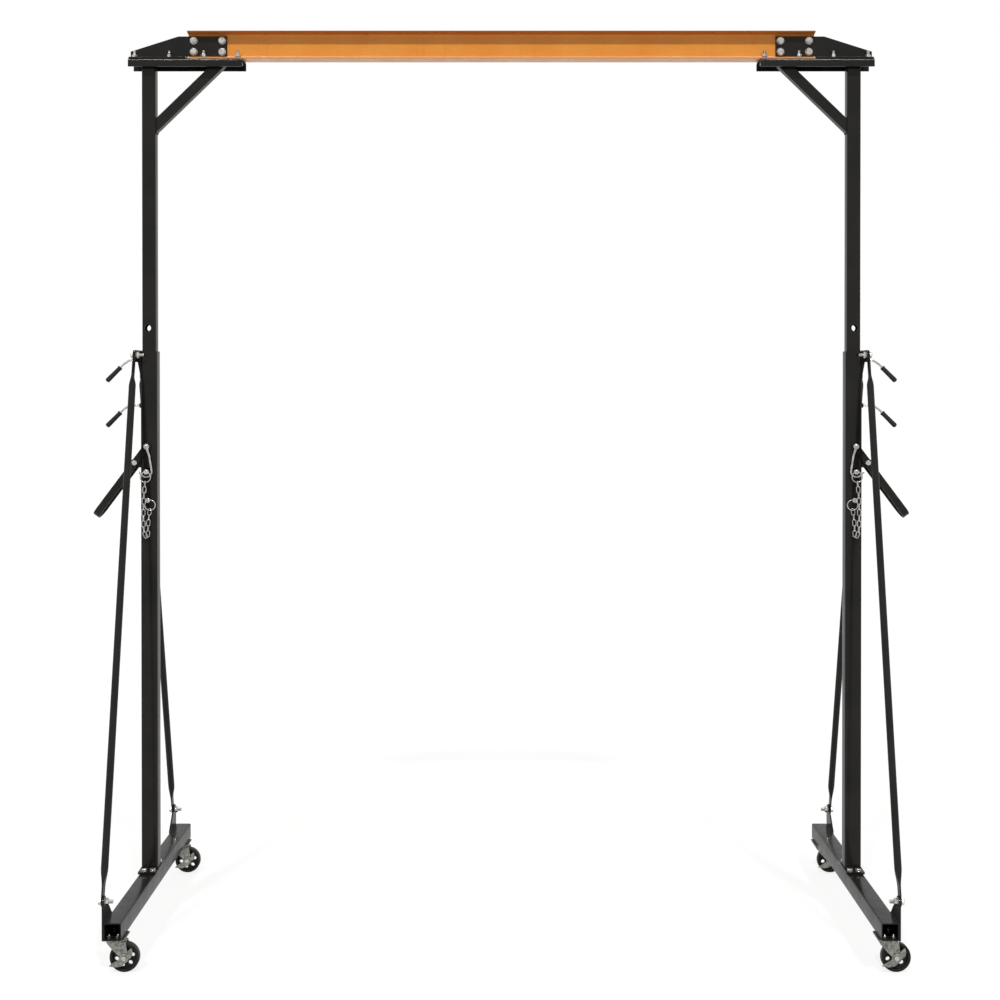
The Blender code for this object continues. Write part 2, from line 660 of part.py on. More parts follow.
def make_brace(label, side, end, way):
    """A tube with both ends pressed flat, bolted to the wing above and the ear below."""
    top = Vector((side * (WING_FACE_X + GAP), way * WING_BOLT_Y, OUTER_TOP - WING_BOLT_DROP))
    foot = Vector((side * (EAR_FACE_X + GAP), way * (BASE_LENGTH / 2 - EAR_BOLT_INSET),
                   BASE_TOP + EAR_BOLT_RISE))
    flat = BRACE_FLAT_THICKNESS / 2
    shift = Vector((side * flat, 0, 0))
    top, foot = top + shift, foot + shift
    span = Vector((0, top.y - foot.y, top.z - foot.z))
    length = span.length
    along = span.normalized()
    across = Vector((1, 0, 0)).cross(along)

    def section(position):
        """Half width, half thickness and X at a distance up from the lower bolt."""
        inward = min(position, length - position)
        blend = min(max((inward - BRACE_FLAT_LENGTH) / BRACE_BLEND, 0), 1)
        blend = blend * blend * (3 - 2 * blend)
        half = BRACE_FLAT_WIDTH / 2 * (1 - blend) + BRACE_RADIUS * blend
        if inward < 0:
            half *= math.sqrt(max(1 - (inward / (BRACE_FLAT_WIDTH / 2)) ** 2, 0))
        thick = flat * (1 - blend) + BRACE_RADIUS * blend
        start = BRACE_FLAT_LENGTH + BRACE_BLEND
        slide = min(max((position - start) / (length - 2 * start), 0), 1)
        return max(half, thick * 1.05), thick, foot.x + (top.x - foot.x) * slide

    tip = BRACE_FLAT_WIDTH / 2
    near = [-tip * math.cos(math.radians(a)) for a in (12, 45, 90)]
    near += [BRACE_FLAT_LENGTH + BRACE_BLEND * step / 3 for step in range(4)]
    stations = near + [length - position for position in reversed(near)]
    bm = bmesh.new()
    rings = []
    for position in stations:
        half, thick, x = section(position)
        centre = foot + along * position
        rings.append([bm.verts.new((x + b, *(centre + across * a).yz))
                      for a, b in brace_section(half, thick)])
    for lower, upper in zip(rings, rings[1:]):
        for i, vert in enumerate(lower):
            j = (i + 1) % len(lower)
            bm.faces.new((vert, lower[j], upper[j], upper[i]))
    bm.faces.new(rings[0])
    bm.faces.new(rings[-1])
    bmesh.ops.recalc_face_normals(bm, faces=bm.faces)
    brace = take(f"{label}_brace_{end}", solid(bm), BLACK_PAINT, origin=foot)
    start = BRACE_FLAT_LENGTH + BRACE_BLEND
    bore_from, bore_to = foot + along * start, top - along * start
    cut(brace, rod(bore_from, bore_to, BRACE_BORE, sides=16))
    drain = foot + along * (start + DRAIN_RISE)
    cut(brace, rod(drain, drain + across * 2 * BRACE_RADIUS, DRAIN_RADIUS, sides=8))
    reach = Vector((2 * BRACE_FLAT_THICKNESS, 0, 0))
    for bolt in (foot, top):
        cut(brace, rod(bolt - reach, bolt + reach, BOLT_HOLE_RADIUS, sides=16))


# ---------------------------------------------------------------- clamp screws

def make_clamp(label, side, level):
    """A screw bent into a crank, with a grip on its end."""
    height = OUTER_TOP - SCREW_DROPS[level]
    tip = MAST_X + INNER_SIZE / 2 + GAP
    bend = FACE_X + SCREW_STRAIGHT
    slope = Vector((math.cos(CRANK_DROP), 0, -math.sin(CRANK_DROP)))
    start = Vector((bend, 0, height))
    mouth = start + slope * CRANK_ARM
    end = mouth + slope * (GRIP_BORE_DEPTH - 0.002)
    curve = [(bend - 0.010, height), (bend - 0.005, height - 0.0006)]
    points = [(tip, height), *curve]
    points += [(bend + d * slope.x, height + d * slope.z) for d in (0.006, 0.012)]
    points += [(mouth.x, mouth.z), (end.x, end.z)]
    axis = (side * MAST_X, 0, height)
    crank = wire([(side * x, 0, z) for x, z in points], SCREW_RADIUS)
    take(f"{label}_clamp_{level}", crank, ZINC, origin=axis)
    bore, rim = SCREW_RADIUS + GAP, 0.0015
    profile = [(0, -GRIP_BORE_DEPTH), (bore, -GRIP_BORE_DEPTH), (bore, 0), (GRIP_RADIUS - rim, 0),
               (GRIP_RADIUS, -rim), (GRIP_RADIUS, -GRIP_LENGTH + 2 * rim),
               (GRIP_RADIUS - 2 * rim, -GRIP_LENGTH), (0, -GRIP_LENGTH)]
    grip = turned(profile, steps=16)
    slope.x *= side
    turn = (-slope).to_track_quat("Z", "Y").to_matrix().to_4x4()
    grip.data.transform(Matrix.Translation((side * mouth.x, 0, mouth.z)) @ turn)
    take(f"{label}_clamp_{level}_grip", grip, BLACK_PLASTIC, origin=axis)


# ---------------------------------------------------------------- jack lever, hooks, pins

def lever_matrix(side):
    """From the lever's own axes (along, across the crane, up its width) to the crane's."""
    along = Vector((side * math.cos(LEVER_ANGLE), 0, -math.sin(LEVER_ANGLE)))
    across = Vector((0, 1, 0))
    up = along.cross(across)
    turn = Matrix((along, across, up)).transposed().to_4x4()
    return Matrix.Translation((side * PIVOT_X, 0, PIVOT_Z)) @ turn


def eye_place(side):
    reach = PIVOT_X - LEVER_SHORT_ARM * math.cos(LEVER_ANGLE)
    return Vector((side * reach, 0, PIVOT_Z + LEVER_SHORT_ARM * math.sin(LEVER_ANGLE)))


def make_jack_lever(label, side):
    """A strap bent into a long U round the mast, with a stud for each hook."""
    middle = LEVER_LENGTH - STRAP_OUTER_Y
    outline = ([(-LEVER_SHORT_ARM, -STRAP_OUTER_Y)]
               + arc((middle, 0), STRAP_OUTER_Y, -90, 90, 12)
               + [(-LEVER_SHORT_ARM, STRAP_OUTER_Y), (-LEVER_SHORT_ARM, STRAP_INNER_Y)]
               + arc((middle, 0), STRAP_INNER_Y, 90, -90, 12)
               + [(-LEVER_SHORT_ARM, -STRAP_INNER_Y)])
    lever = prism(outline, "Z", -LEVER_WIDTH / 2, LEVER_WIDTH / 2)
    tools, holes = [], []
    eye_reach = HOOK_Y + EYE_LENGTH / 2 + GAP
    for way in (-1, 1):
        def across(x, near, far, radius, sides=24):
            return rod((x, way * near, 0), (x, way * far, 0), radius, sides)
        tools.append(across(-LEVER_SHORT_ARM, STRAP_INNER_Y, STRAP_OUTER_Y, LEVER_EYE_RADIUS))
        tools.append(across(-LEVER_SHORT_ARM, STRAP_INNER_Y + WELD, eye_reach + WELD, EYE_STUD_RADIUS))
        tools.append(across(-LEVER_SHORT_ARM, eye_reach, eye_reach + EYE_HEAD_LENGTH,
                            EYE_HEAD_RADIUS, 6))
        holes.append(across(0, STRAP_INNER_Y - WELD, STRAP_OUTER_Y + WELD, PIVOT_RADIUS + RUNNING))
    place = lever_matrix(side)
    for piece in [lever, *tools, *holes]:
        piece.data.transform(place)
    lever = take(f"{label}_jack_lever", lever, BLACK_PAINT, origin=place.translation)
    join(lever, *tools)
    cut(lever, *holes)


def hook_route():
    """Hook wire from the eye down, round under the pin and out: (outboard, up) of the eye."""
    drop = LEVER_SHORT_ARM * math.sin(LEVER_ANGLE) + PIVOT_Z - LIFT_PIN_Z
    shank = [(-0.0025, -0.0075), (-0.007, -0.020), (-0.0125, -0.048), (-0.0175, -drop + 0.016)]
    bottom = [(x, z - drop) for x, z in arc((0.001, 0.001), HOOK_BEND, 170, 310, 9)]
    tip = [(HOOK_BEND - 0.0005, 0.010 - drop - HOOK_BEND), (HOOK_BEND + 0.0095, -drop - 0.002)]
    return shank + bottom + tip


def make_hook(label, side, end, way):
    """A hook link that hangs plumb from the lever and holds the lift pin."""
    eye = eye_place(side)
    y = way * HOOK_Y
    route = [(eye.x + side * x, y, eye.z + z) for x, z in hook_route()]
    near, far = (y - EYE_LENGTH / 2, y + EYE_LENGTH / 2)
    boss = rod((eye.x, near, eye.z), (eye.x, far, eye.z), EYE_RADIUS)
    hook = take(f"{label}_hook_{end}", boss, ZINC, origin=eye)
    join(hook, wire(route, HOOK_WIRE))
    cut(hook, rod((eye.x, near - WELD, eye.z), (eye.x, far + WELD, eye.z),
                  EYE_STUD_RADIUS + RUNNING))


def make_pin(label, side, kind, height):
    """A round pin with domed ends, and a ring through its front end."""
    half, steps = PIN_LENGTH / 2, 3
    dome = [(PIN_RADIUS * math.sin(angle), half - PIN_DOME * (1 - math.cos(angle)))
            for angle in (math.pi / 2 * step / steps for step in range(steps + 1))]
    pin = turned(dome + [(radius, -z) for radius, z in reversed(dome)])
    x, front = side * (SLOT_X + PIN_SHIFTS[kind]), -FRONT_Y - PIN_STAND_OUTS[kind]
    pin.data.transform(Matrix.Translation((x, front + half, height))
                       @ Matrix.Rotation(math.pi / 2, 4, "X"))
    bpy.ops.mesh.primitive_torus_add(
        major_radius=RING_RADIUS, minor_radius=RING_WIRE, major_segments=18, minor_segments=6)
    ring = bpy.context.object
    lean = RING_LEANS[kind]
    hang = Vector((side * math.sin(lean), 0, -math.cos(lean))) * RING_RADIUS
    centre = Vector((x, front + RING_INSET, height)) + hang
    ring.data.transform(Matrix.Translation(centre) @ Matrix.Rotation(math.pi / 2, 4, "X"))
    bm = bmesh.new()
    bm.from_mesh(ring.data)
    bpy.data.objects.remove(ring)
    pin = take(f"{label}_{kind}_pin", pin, ZINC, origin=(x, 0, height))
    join(pin, solid(bm))
    return centre - Vector((0, 0, RING_RADIUS))


def smooth_route(points, per_span):
    """Points on a Catmull-Rom curve through the given ones."""
    knots = [points[0], *points, points[-1]]
    route = []
    for a, b, c, d in zip(knots, knots[1:], knots[2:], knots[3:]):
        for step in range(per_span):
            t = step / per_span
            route.append(0.5 * (2 * b + (c - a) * t + (2 * a - 5 * b + 4 * c - d) * t * t
                                + (3 * b - a - 3 * c + d) * t ** 3))
    return route + [points[-1]]


def make_chain(label, side, lift_ring, lock_ring):
    """The chain that ties the two pins together, as a plain cord along its route."""
    start = lift_ring - Vector((0, 0, RING_WIRE + CHAIN_RADIUS + GAP))
    finish = lock_ring - Vector((0, 0, RING_WIRE + CHAIN_RADIUS + GAP))
    route = [start]
    for x, y, z in CHAIN_ROUTE:
        route.append(Vector((side * (MAST_X + x), -FRONT_Y - y, LOCK_PIN_Z + z)))
    route.append(finish)
    chain = wire([tuple(point) for point in smooth_route(route, 4)], CHAIN_RADIUS)
    take(f"{label}_pin_chain", chain, ZINC, origin=start)


# ---------------------------------------------------------------- casters

def caster_plate():
    """Top plate, bearing race and kingpin."""
    plate = prism(rounded_rectangle(CASTER_PLATE_X, CASTER_PLATE_Y, 0.008), "Z",
                  FLOOR_TO_PLATE - CASTER_PLATE_THICKNESS, FLOOR_TO_PLATE)
    top = FLOOR_TO_PLATE - CASTER_PLATE_THICKNESS / 2
    head_top = CROWN_BOTTOM - GAP
    head_low = head_top - KINGPIN_HEAD_LENGTH
    chamfer = 0.002
    profile = [(0, top), (RACE_RADIUS, top), (RACE_RADIUS, RACE_BOTTOM + chamfer),
               (RACE_RADIUS - chamfer, RACE_BOTTOM), (KINGPIN_RADIUS, RACE_BOTTOM),
               (KINGPIN_RADIUS, head_top), (KINGPIN_HEAD_RADIUS, head_top),
               (KINGPIN_HEAD_RADIUS, head_low), (0, head_low)]
    join(plate, turned(profile))
    return baked(plate)


def rounded_rectangle(width, depth, radius):
    points = []
    for quarter, (x, y) in enumerate(((1, 1), (-1, 1), (-1, -1), (1, -1))):
        corner = (x * (width / 2 - radius), y * (depth / 2 - radius))
        points += arc(corner, radius, 90 * quarter, 90 * quarter + 90, 2)
    return points


def caster_fork():
    """A crown plate with two legs that trail down to the axle."""
    crown = rod((0, 0, CROWN_BOTTOM), (0, 0, CROWN_TOP), CROWN_RADIUS)
    front, rear = -FORK_FRONT, TRAIL + FORK_REAR
    bridge = box((front, -FORK_OUTER_Y, CROWN_BOTTOM), (rear, FORK_OUTER_Y, CROWN_TOP))
    leg = ([(rear, CROWN_TOP), (front, CROWN_TOP), (front, CROWN_BOTTOM - 0.010)]
           + arc((TRAIL, WHEEL_RADIUS), FORK_HUB_RADIUS, 200, 350, 8)
           + [(rear + 0.004, WHEEL_RADIUS + 0.018)])
    legs = [prism(leg, "Y", way * FORK_INNER_Y, way * FORK_OUTER_Y) for way in (-1, 1)]
    join(crown, bridge, *legs)
    cut(crown, rod((0, 0, CROWN_BOTTOM - PAST), (0, 0, CROWN_TOP + PAST), KINGPIN_RADIUS + RUNNING),
        rod((TRAIL, -HUB_WIDTH, WHEEL_RADIUS), (TRAIL, HUB_WIDTH, WHEEL_RADIUS),
            AXLE_RADIUS + RUNNING))
    return baked(crown)


def caster_wheel():
    """Rim, thin web with round holes, and hub. The rim stands on a flat of its outline."""
    outer = WHEEL_RADIUS / math.cos(math.pi / WHEEL_STEPS)
    inner = outer - RIM_DEPTH
    half, hub, chamfer = WHEEL_WIDTH / 2, HUB_WIDTH / 2, 0.002
    upper = [(HUB_RADIUS, hub), (HUB_RADIUS, WEB_HALF), (inner - chamfer, WEB_HALF), (inner, half),
             (outer - chamfer, half), (outer, half - chamfer)]
    bore = AXLE_RADIUS + RUNNING
    profile = [(bore, hub), *upper, *[(r, -z) for r, z in reversed(upper)], (bore, -hub)]
    wheel = turned(profile, steps=WHEEL_STEPS, closed=True)
    wheel.data.transform(Matrix.Rotation(math.pi / WHEEL_STEPS, 4, "Z"))
    for hole in range(WHEEL_HOLES):
        angle = WHEEL_HOLE_START + 2 * math.pi * hole / WHEEL_HOLES
        x, y = WHEEL_HOLE_CIRCLE * math.cos(angle), WHEEL_HOLE_CIRCLE * math.sin(angle)
        cut(wheel, rod((x, y, -half), (x, y, half), WHEEL_HOLE_RADIUS, sides=12))
    wheel = baked(wheel)
    wheel.data.transform(Matrix.Translation((TRAIL, 0, WHEEL_RADIUS))
                         @ Matrix.Rotation(math.pi / 2, 4, "X"))
    return wheel


def caster_axle():
    """A bolt through the fork, with its head outside the pedal and a nut at the back."""
    head, nut = PEDAL_OUTER_Y + GAP, FORK_OUTER_Y + GAP

    def across(near, far, radius, sides):
        return rod((TRAIL, near, WHEEL_RADIUS), (TRAIL, far, WHEEL_RADIUS), radius, sides)

    axle = across(-head - WELD, nut + AXLE_HEAD_LENGTH + 0.002, AXLE_RADIUS, 20)
    join(axle, across(-head - AXLE_HEAD_LENGTH, -head, AXLE_HEAD_RADIUS, 6),
         across(nut, nut + AXLE_HEAD_LENGTH, AXLE_HEAD_RADIUS, 6))
    return baked(axle)


def caster_pedal():
    """The brake lever: a disc on the axle with a toe tab below and a release tab above."""
    outline = (arc((0, 0), PEDAL_HUB_RADIUS, 80, 190, 7)
               + [(-0.026, -0.010), (-0.050, -0.026), (-0.030, -0.030), (-0.008, -0.027)]
               + arc((0, 0), PEDAL_HUB_RADIUS, 280, 350, 5)
               + [(0.027, 0.006), (0.031, 0.018), (0.0275, 0.036), (0.013, 0.026)])
    outline = [(TRAIL + x, WHEEL_RADIUS + z) for x, z in outline]
    pedal = prism(outline, "Y", -PEDAL_OUTER_Y, PEDAL_THICKNESS - PEDAL_OUTER_Y)
    cut(pedal, rod((TRAIL, -HUB_WIDTH, WHEEL_RADIUS), (TRAIL, 0, WHEEL_RADIUS),
                   AXLE_RADIUS + RUNNING))
    return baked(pedal)


def make_casters():
    """Four casters that share their meshes, each under an empty on its swivel axis."""
    axle_centre = (TRAIL, 0, WHEEL_RADIUS)
    pieces = {
        "plate": (caster_plate(), ZINC, (0, 0, 0)),
        "fork": (caster_fork(), ZINC, (0, 0, 0)),
        "wheel": (caster_wheel(), BLACK_WHEEL, axle_centre),
        "axle": (caster_axle(), ZINC, axle_centre),
        "pedal": (caster_pedal(), ZINC, axle_centre),
    }
    for end, way in ENDS.items():
        for label, side in SIDES.items():
            swivel = bpy.data.objects.new(f"caster_{end}_{label}_swivel", None)
            swivel.location = (side * MAST_X, way * CASTER_Y, 0)
            PARTS.objects.link(swivel)
            for kind, (pattern, finish, origin) in pieces.items():
                copy = pattern.copy()
                copy.data = pattern.data.copy()
                CUTTERS.objects.link(copy)
                take(f"caster_{end}_{label}_{kind}", copy, finish, origin, parent=swivel)
    for pattern, _, _ in pieces.values():
        bpy.data.objects.remove(pattern)


# ---------------------------------------------------------------- the crane

def make_crane():
    make_i_beam()
    make_casters()
    for label, side in SIDES.items():
        make_head_channel(label, side)
        make_inner_mast(label, side)
        make_knee_brace(label, side)
        make_outer_mast(label, side)
        make_base_beam(label, side)
        for end, way in ENDS.items():
            make_gusset(label, side, end, way)
            make_brace(label, side, end, way)
            make_hook(label, side, end, way)
        for level in SCREW_DROPS:
            make_clamp(label, side, level)
        make_jack_lever(label, side)
        lift_ring = make_pin(label, side, "lift", LIFT_PIN_Z)
        lock_ring = make_pin(label, side, "lock", LOCK_PIN_Z)
        make_chain(label, side, lift_ring, lock_ring)


make_crane()
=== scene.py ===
"""Looks of the portable gantry crane. Metres, +X along the beam, -Y to the front.

Pieces that come in a left and a right are built on the right, where outboard is +X, and
mirrored to the left. Casters aren't mirrored: all of them trail towards +X.
"""

import math

import bmesh
import bpy
from mathutils import Matrix, Vector


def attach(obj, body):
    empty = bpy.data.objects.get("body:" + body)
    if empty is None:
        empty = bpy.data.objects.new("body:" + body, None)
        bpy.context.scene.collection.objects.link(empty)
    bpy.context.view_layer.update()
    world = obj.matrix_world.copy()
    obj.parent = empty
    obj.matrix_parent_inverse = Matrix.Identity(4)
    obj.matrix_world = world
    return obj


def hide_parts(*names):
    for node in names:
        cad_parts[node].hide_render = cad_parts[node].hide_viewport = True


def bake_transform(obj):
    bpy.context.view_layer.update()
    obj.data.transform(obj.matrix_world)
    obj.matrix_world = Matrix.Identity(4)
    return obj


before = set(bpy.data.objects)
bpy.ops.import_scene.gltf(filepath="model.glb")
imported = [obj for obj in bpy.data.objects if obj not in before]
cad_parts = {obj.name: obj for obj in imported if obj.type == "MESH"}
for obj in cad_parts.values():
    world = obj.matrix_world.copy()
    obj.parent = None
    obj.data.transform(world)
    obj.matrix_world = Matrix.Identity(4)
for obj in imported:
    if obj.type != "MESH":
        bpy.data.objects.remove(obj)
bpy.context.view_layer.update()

SIDES = {"left": -1, "right": 1}
ENDS = {"front": -1, "rear": 1}

GAP = 0.0003                         # between neighbours, as in the CAD

# Masts and base
MAST_X = 1.300
OUTER = 0.060
INNER = 0.050
OUTER_TOP = 2.1000
OUTER_BOTTOM = 0.1883
BASE_LOW, BASE_TOP = 0.1200, 0.1800
BASE_END = 0.607
FACE = MAST_X + OUTER / 2            # outboard face of the outer mast and the base beam
INNER_BOTTOM, INNER_TOP = 1.1437, 3.1697
CLAMP_Z = {"upper": 2.067, "lower": 1.900}
WING_IN, WING_OUT = 1.340, 1.345
WING_BOLT_Y, WING_BOLT_Z = 0.053, 2.086
EAR_IN, EAR_OUT = FACE - 0.0005, FACE + 0.005
EAR_BOLT_Y, EAR_BOLT_Z = 0.582, 0.245
BOLT_HOLE = 0.0065
SCREW_HOLE = 0.0046

# Pins
SLOT_X = 1.304
LOCK_Z, PITCH = 1.550, 0.106
LIFT_Z = LOCK_Z + PITCH
PIN_RADIUS = 0.0095
PINS = {"lift": (1.3051, LIFT_Z, -0.058, 8), "lock": (1.3033, LOCK_Z, -0.039, -26)}
RING_RADIUS, RING_WIRE = 0.019, 0.0019
CHAIN_PITCH = 0.0211

# Head
CHANNEL_TOP, CHANNEL_LOW = 3.1750, 3.1445
CHANNEL_WALL = 0.005
CHANNEL_IN, CHANNEL_OUT = 0.951, 1.370
GUSSET_NEAR, GUSSET_FAR = 0.0028, 0.0078      # from the beam's middle plane
GUSSET_FOOT = (1.160, 1.369)
BEAM_LOW, BEAM_TOP = 3.1753, 3.2790
BEAM_HALF = 1.156
FLANGE_HALF = 0.034

# Jack lever
PIVOT = Vector((1.351, 0, 1.689))
LEVER_DROP = math.radians(53.1)
SHORT_ARM = 0.045 / math.cos(LEVER_DROP)
LEVER_LENGTH = 0.248
STRAP_IN, STRAP_OUT = 0.031, 0.036
STUD_Y = 0.0476
HOOK_Y = 0.0428
EYE = PIVOT + Vector((-math.cos(LEVER_DROP), 0, math.sin(LEVER_DROP))) * SHORT_ARM

# Casters
CASTER_Y = 0.551
TRAIL = 0.030
AXLE_Z = 0.050
PLATE_TOP = 0.1197
CROWN_TOP, CROWN_LOW = 0.1084, 0.1044
FORK_IN, FORK_OUT = 0.0168, 0.0198
PEDAL_OUT = 0.0226

SCRATCH = bpy.data.collections.new("scratch")
bpy.context.scene.collection.children.link(SCRATCH)


# ---- materials

class Nodes:
    """A short way to write a node tree."""

    def __init__(self, tree):
        self.tree = tree

    def add(self, kind, props=None, **inputs):
        node = self.tree.nodes.new(kind)
        for key, value in (props or {}).items():
            setattr(node, key, value)
        self.fill(node, **inputs)
        return node

    def fill(self, node, **inputs):
        for key, value in inputs.items():
            self.set(node, key.replace("_", " "), value)

    def set(self, node, key, value):
        socket = node.inputs[int(key) if key.isdigit() else key]
        if isinstance(value, bpy.types.NodeSocket):
            self.tree.links.new(value, socket)
        else:
            socket.default_value = value

    def noise(self, place, scale, detail=3.0, roughness=0.55):
        node = self.add("ShaderNodeTexNoise", Vector=place, Scale=scale, Detail=detail,
                        Roughness=roughness)
        return node.outputs["Fac"]

    def ramp(self, value, low, high, to_low=0.0, to_high=1.0):
        node = self.add("ShaderNodeMapRange", {"clamp": True}, Value=value)
        for key, number in (("From Min", low), ("From Max", high), ("To Min", to_low),
                            ("To Max", to_high)):
            node.inputs[key].default_value = number
        return node.outputs["Result"]

    def maths(self, operation, *values):
        node = self.add("ShaderNodeMath", {"operation": operation})
        for index, value in enumerate(values):
            self.set(node, str(index), value)
        return node.outputs[0]

    def mix(self, amount, one, two):
        node = self.add("ShaderNodeMix", {"data_type": "RGBA"})
        self.set(node, "0", amount)
        self.set(node, "6", one)
        self.set(node, "7", two)
        return node.outputs[2]

    def pick(self, amount, one, two):
        """Between two shaders."""
        node = self.add("ShaderNodeMixShader")
        for key, value in zip("012", (amount, one.outputs[0], two.outputs[0])):
            self.set(node, key, value)
        return node.outputs[0]


def rgb(*values):
    return (*values, 1.0)


def start_material(name):
    made = bpy.data.materials.new(name)
    made.use_nodes = True
    tree = made.node_tree
    shader = tree.nodes["Principled BSDF"]
    nodes = Nodes(tree)
    place = nodes.add("ShaderNodeTexCoord").outputs["Object"]
    return made, nodes, shader, place


def edge_mask(nodes, place, radius, breakup, low, high):
    """Up to 1 on sharp edges, broken up by noise."""
    soft = nodes.add("ShaderNodeBevel", {"samples": 4}, Radius=radius).outputs["Normal"]
    flat = nodes.add("ShaderNodeNewGeometry").outputs["Normal"]
    dot = nodes.add("ShaderNodeVectorMath", {"operation": "DOT_PRODUCT"})
    nodes.set(dot, "0", soft)
    nodes.set(dot, "1", flat)
    edge = nodes.ramp(dot.outputs["Value"], 0.97, 0.80)
    return nodes.maths("MULTIPLY", edge, nodes.ramp(nodes.noise(place, breakup), low, high))


def flange_toes(nodes, place, base):
    """Painted shade: dark red-brown on the upper flange's edge, weaker on its underside, and a
    painted highlight: a pale colour on the lower flange's edge."""
    _, y, z = nodes.add("ShaderNodeSeparateXYZ", Vector=place).outputs
    out = nodes.maths("GREATER_THAN", nodes.maths("ABSOLUTE", y), FLANGE_HALF - 0.0012)
    high = nodes.ramp(z, BEAM_TOP - 0.0098, BEAM_TOP - 0.0090)
    crest = nodes.ramp(z, BEAM_TOP - 0.0008, BEAM_TOP - 0.0002, 1.0, 0.0)
    high = nodes.maths("MULTIPLY", high, crest)
    # painted highlight: low masks the lower flange's outer edge, which gets a pale pinkish colour
    low = nodes.ramp(z, BEAM_LOW + 0.0062, BEAM_LOW + 0.0069, 0.8, 0.0)
    # coat here is painted shade, not a layer of paint: dark red-brown over the upper flange's
    # edge, and at 55% over its underside
    coat = nodes.maths("MULTIPLY", nodes.maths("MAXIMUM", out, 0.55), high)
    base = nodes.mix(coat, base, rgb(0.27, 0.048, 0.011))
    return nodes.mix(nodes.maths("MULTIPLY", out, low), base, rgb(0.52, 0.31, 0.185))


def paint(name, colour, dusty, chip, roughness, grain, wear, shine=0.5, coat=0.0,
          painted_flange_light=False):
    """A coat of paint: cloudy colour, orange peel, dust, and light chips on the edges."""
    made, nodes, shader, place = start_material(name)
    cloud = nodes.noise(place, 7.0, 4.0)
    speck = nodes.noise(place, 420.0, 2.0)
    base = nodes.mix(nodes.ramp(cloud, 0.35, 0.70), rgb(*colour), rgb(*dusty))
    # painted shade and a painted highlight on the beam's flanges
    if painted_flange_light:
        base = flange_toes(nodes, place, base)
    base = nodes.mix(nodes.ramp(speck, 0.66, 0.80, 0.0, 0.35), base, rgb(*chip))
    edge = edge_mask(nodes, place, 0.0012, 55.0, 0.60 - wear, 0.74 - wear)
    base = nodes.mix(nodes.maths("MULTIPLY", edge, 0.5), base, rgb(*chip))
    streak = nodes.noise(nodes.add("ShaderNodeVectorMath", {"operation": "MULTIPLY"},
                                   **{"0": place, "1": (26.0, 26.0, 3.0)}).outputs[0], 1.0, 4.0)
    rough = nodes.ramp(streak, 0.30, 0.70, roughness - 0.05, roughness + 0.09)
    rough = nodes.maths("ADD", rough, nodes.ramp(speck, 0.3, 0.7, -0.03, 0.03))
    peel = nodes.noise(place, grain, 2.0)
    bump = nodes.add("ShaderNodeBump", Height=peel, Strength=0.13, Distance=0.0004)
    nodes.fill(shader, Base_Color=base, Roughness=rough, Specular_IOR_Level=shine,
               Coat_Weight=coat, Coat_Roughness=0.16, Normal=bump.outputs["Normal"])
    return made


def plating(name, bright, dull, roughness, scale):
    """Zinc plating: cloudy grey, fine spangle, brushed roughness and a few dark specks."""
    made, nodes, shader, place = start_material(name)
    cloud = nodes.noise(place, scale, 4.0)
    fine = nodes.noise(place, 900.0, 2.0)
    base = nodes.mix(nodes.ramp(cloud, 0.35, 0.65), rgb(*bright), rgb(*dull))
    tint = nodes.ramp(nodes.noise(place, scale * 0.6), 0.50, 0.75, 0.0, 0.30)
    base = nodes.mix(tint, base, rgb(0.50, 0.47, 0.36))
    base = nodes.mix(nodes.ramp(fine, 0.70, 0.82, 0.0, 0.5), base, rgb(0.16, 0.15, 0.13))
    rough = nodes.ramp(cloud, 0.25, 0.75, roughness - 0.07, roughness + 0.10)
    bump = nodes.add("ShaderNodeBump", Height=fine, Strength=0.18, Distance=0.0003)
    nodes.fill(shader, Base_Color=base, Metallic=0.92, Roughness=rough,
               Normal=bump.outputs["Normal"])
    return made


def moulded(name, colour, light, roughness, grain):
    """Moulded plastic or a cast tread: slight mottling, scuffs and a fine texture."""
    made, nodes, shader, place = start_material(name)
    cloud = nodes.noise(place, 35.0, 4.0)
    base = nodes.mix(nodes.ramp(cloud, 0.35, 0.75), rgb(*colour), rgb(*light))
    edge = edge_mask(nodes, place, 0.0010, 90.0, 0.45, 0.60)
    base = nodes.mix(nodes.maths("MULTIPLY", edge, 0.35), base, rgb(*[3 * c for c in light]))
    rough = nodes.ramp(cloud, 0.30, 0.70, roughness - 0.06, roughness + 0.08)
    bump = nodes.add("ShaderNodeBump", Height=nodes.noise(place, grain, 2.0), Strength=0.25,
                     Distance=0.0003)
    nodes.fill(shader, Base_Color=base, Roughness=rough, Specular_IOR_Level=0.15,
               Normal=bump.outputs["Normal"])
    return made


MATERIALS = {
    "frame_paint": paint("black_powder_coat", (0.0080, 0.0075, 0.0070), (0.0135, 0.0125, 0.0115),
                         (0.045, 0.042, 0.037), 0.36, 900.0, 0.06, shine=0.02, coat=0.30),
    # the beam's paint carries painted shade and a painted highlight on its flanges
    "beam_paint": paint("orange_paint", (0.70, 0.285, 0.038), (0.66, 0.235, 0.022),
                        (0.84, 0.42, 0.12), 0.30, 700.0, 0.03, shine=0.40, painted_flange_light=True),
    "zinc": plating("zinc_plating", (0.60, 0.59, 0.56), (0.34, 0.33, 0.31), 0.22, 60.0),
    "caster_zinc": plating("caster_zinc", (0.30, 0.30, 0.275), (0.125, 0.125, 0.115), 0.30, 110.0),
    "grip": moulded("black_grip", (0.018, 0.018, 0.018), (0.030, 0.029, 0.028), 0.50, 1400.0),
    "wheel_steel": moulded("black_wheel", (0.008, 0.008, 0.008), (0.015, 0.0145, 0.014), 0.42,
                           800.0),
}


# ---- working solids

def solid(bm):
    mesh = bpy.data.meshes.new("solid")
    bm.to_mesh(mesh)
    bm.free()
    made = bpy.data.objects.new("solid", mesh)
    SCRATCH.objects.link(made)
    return made


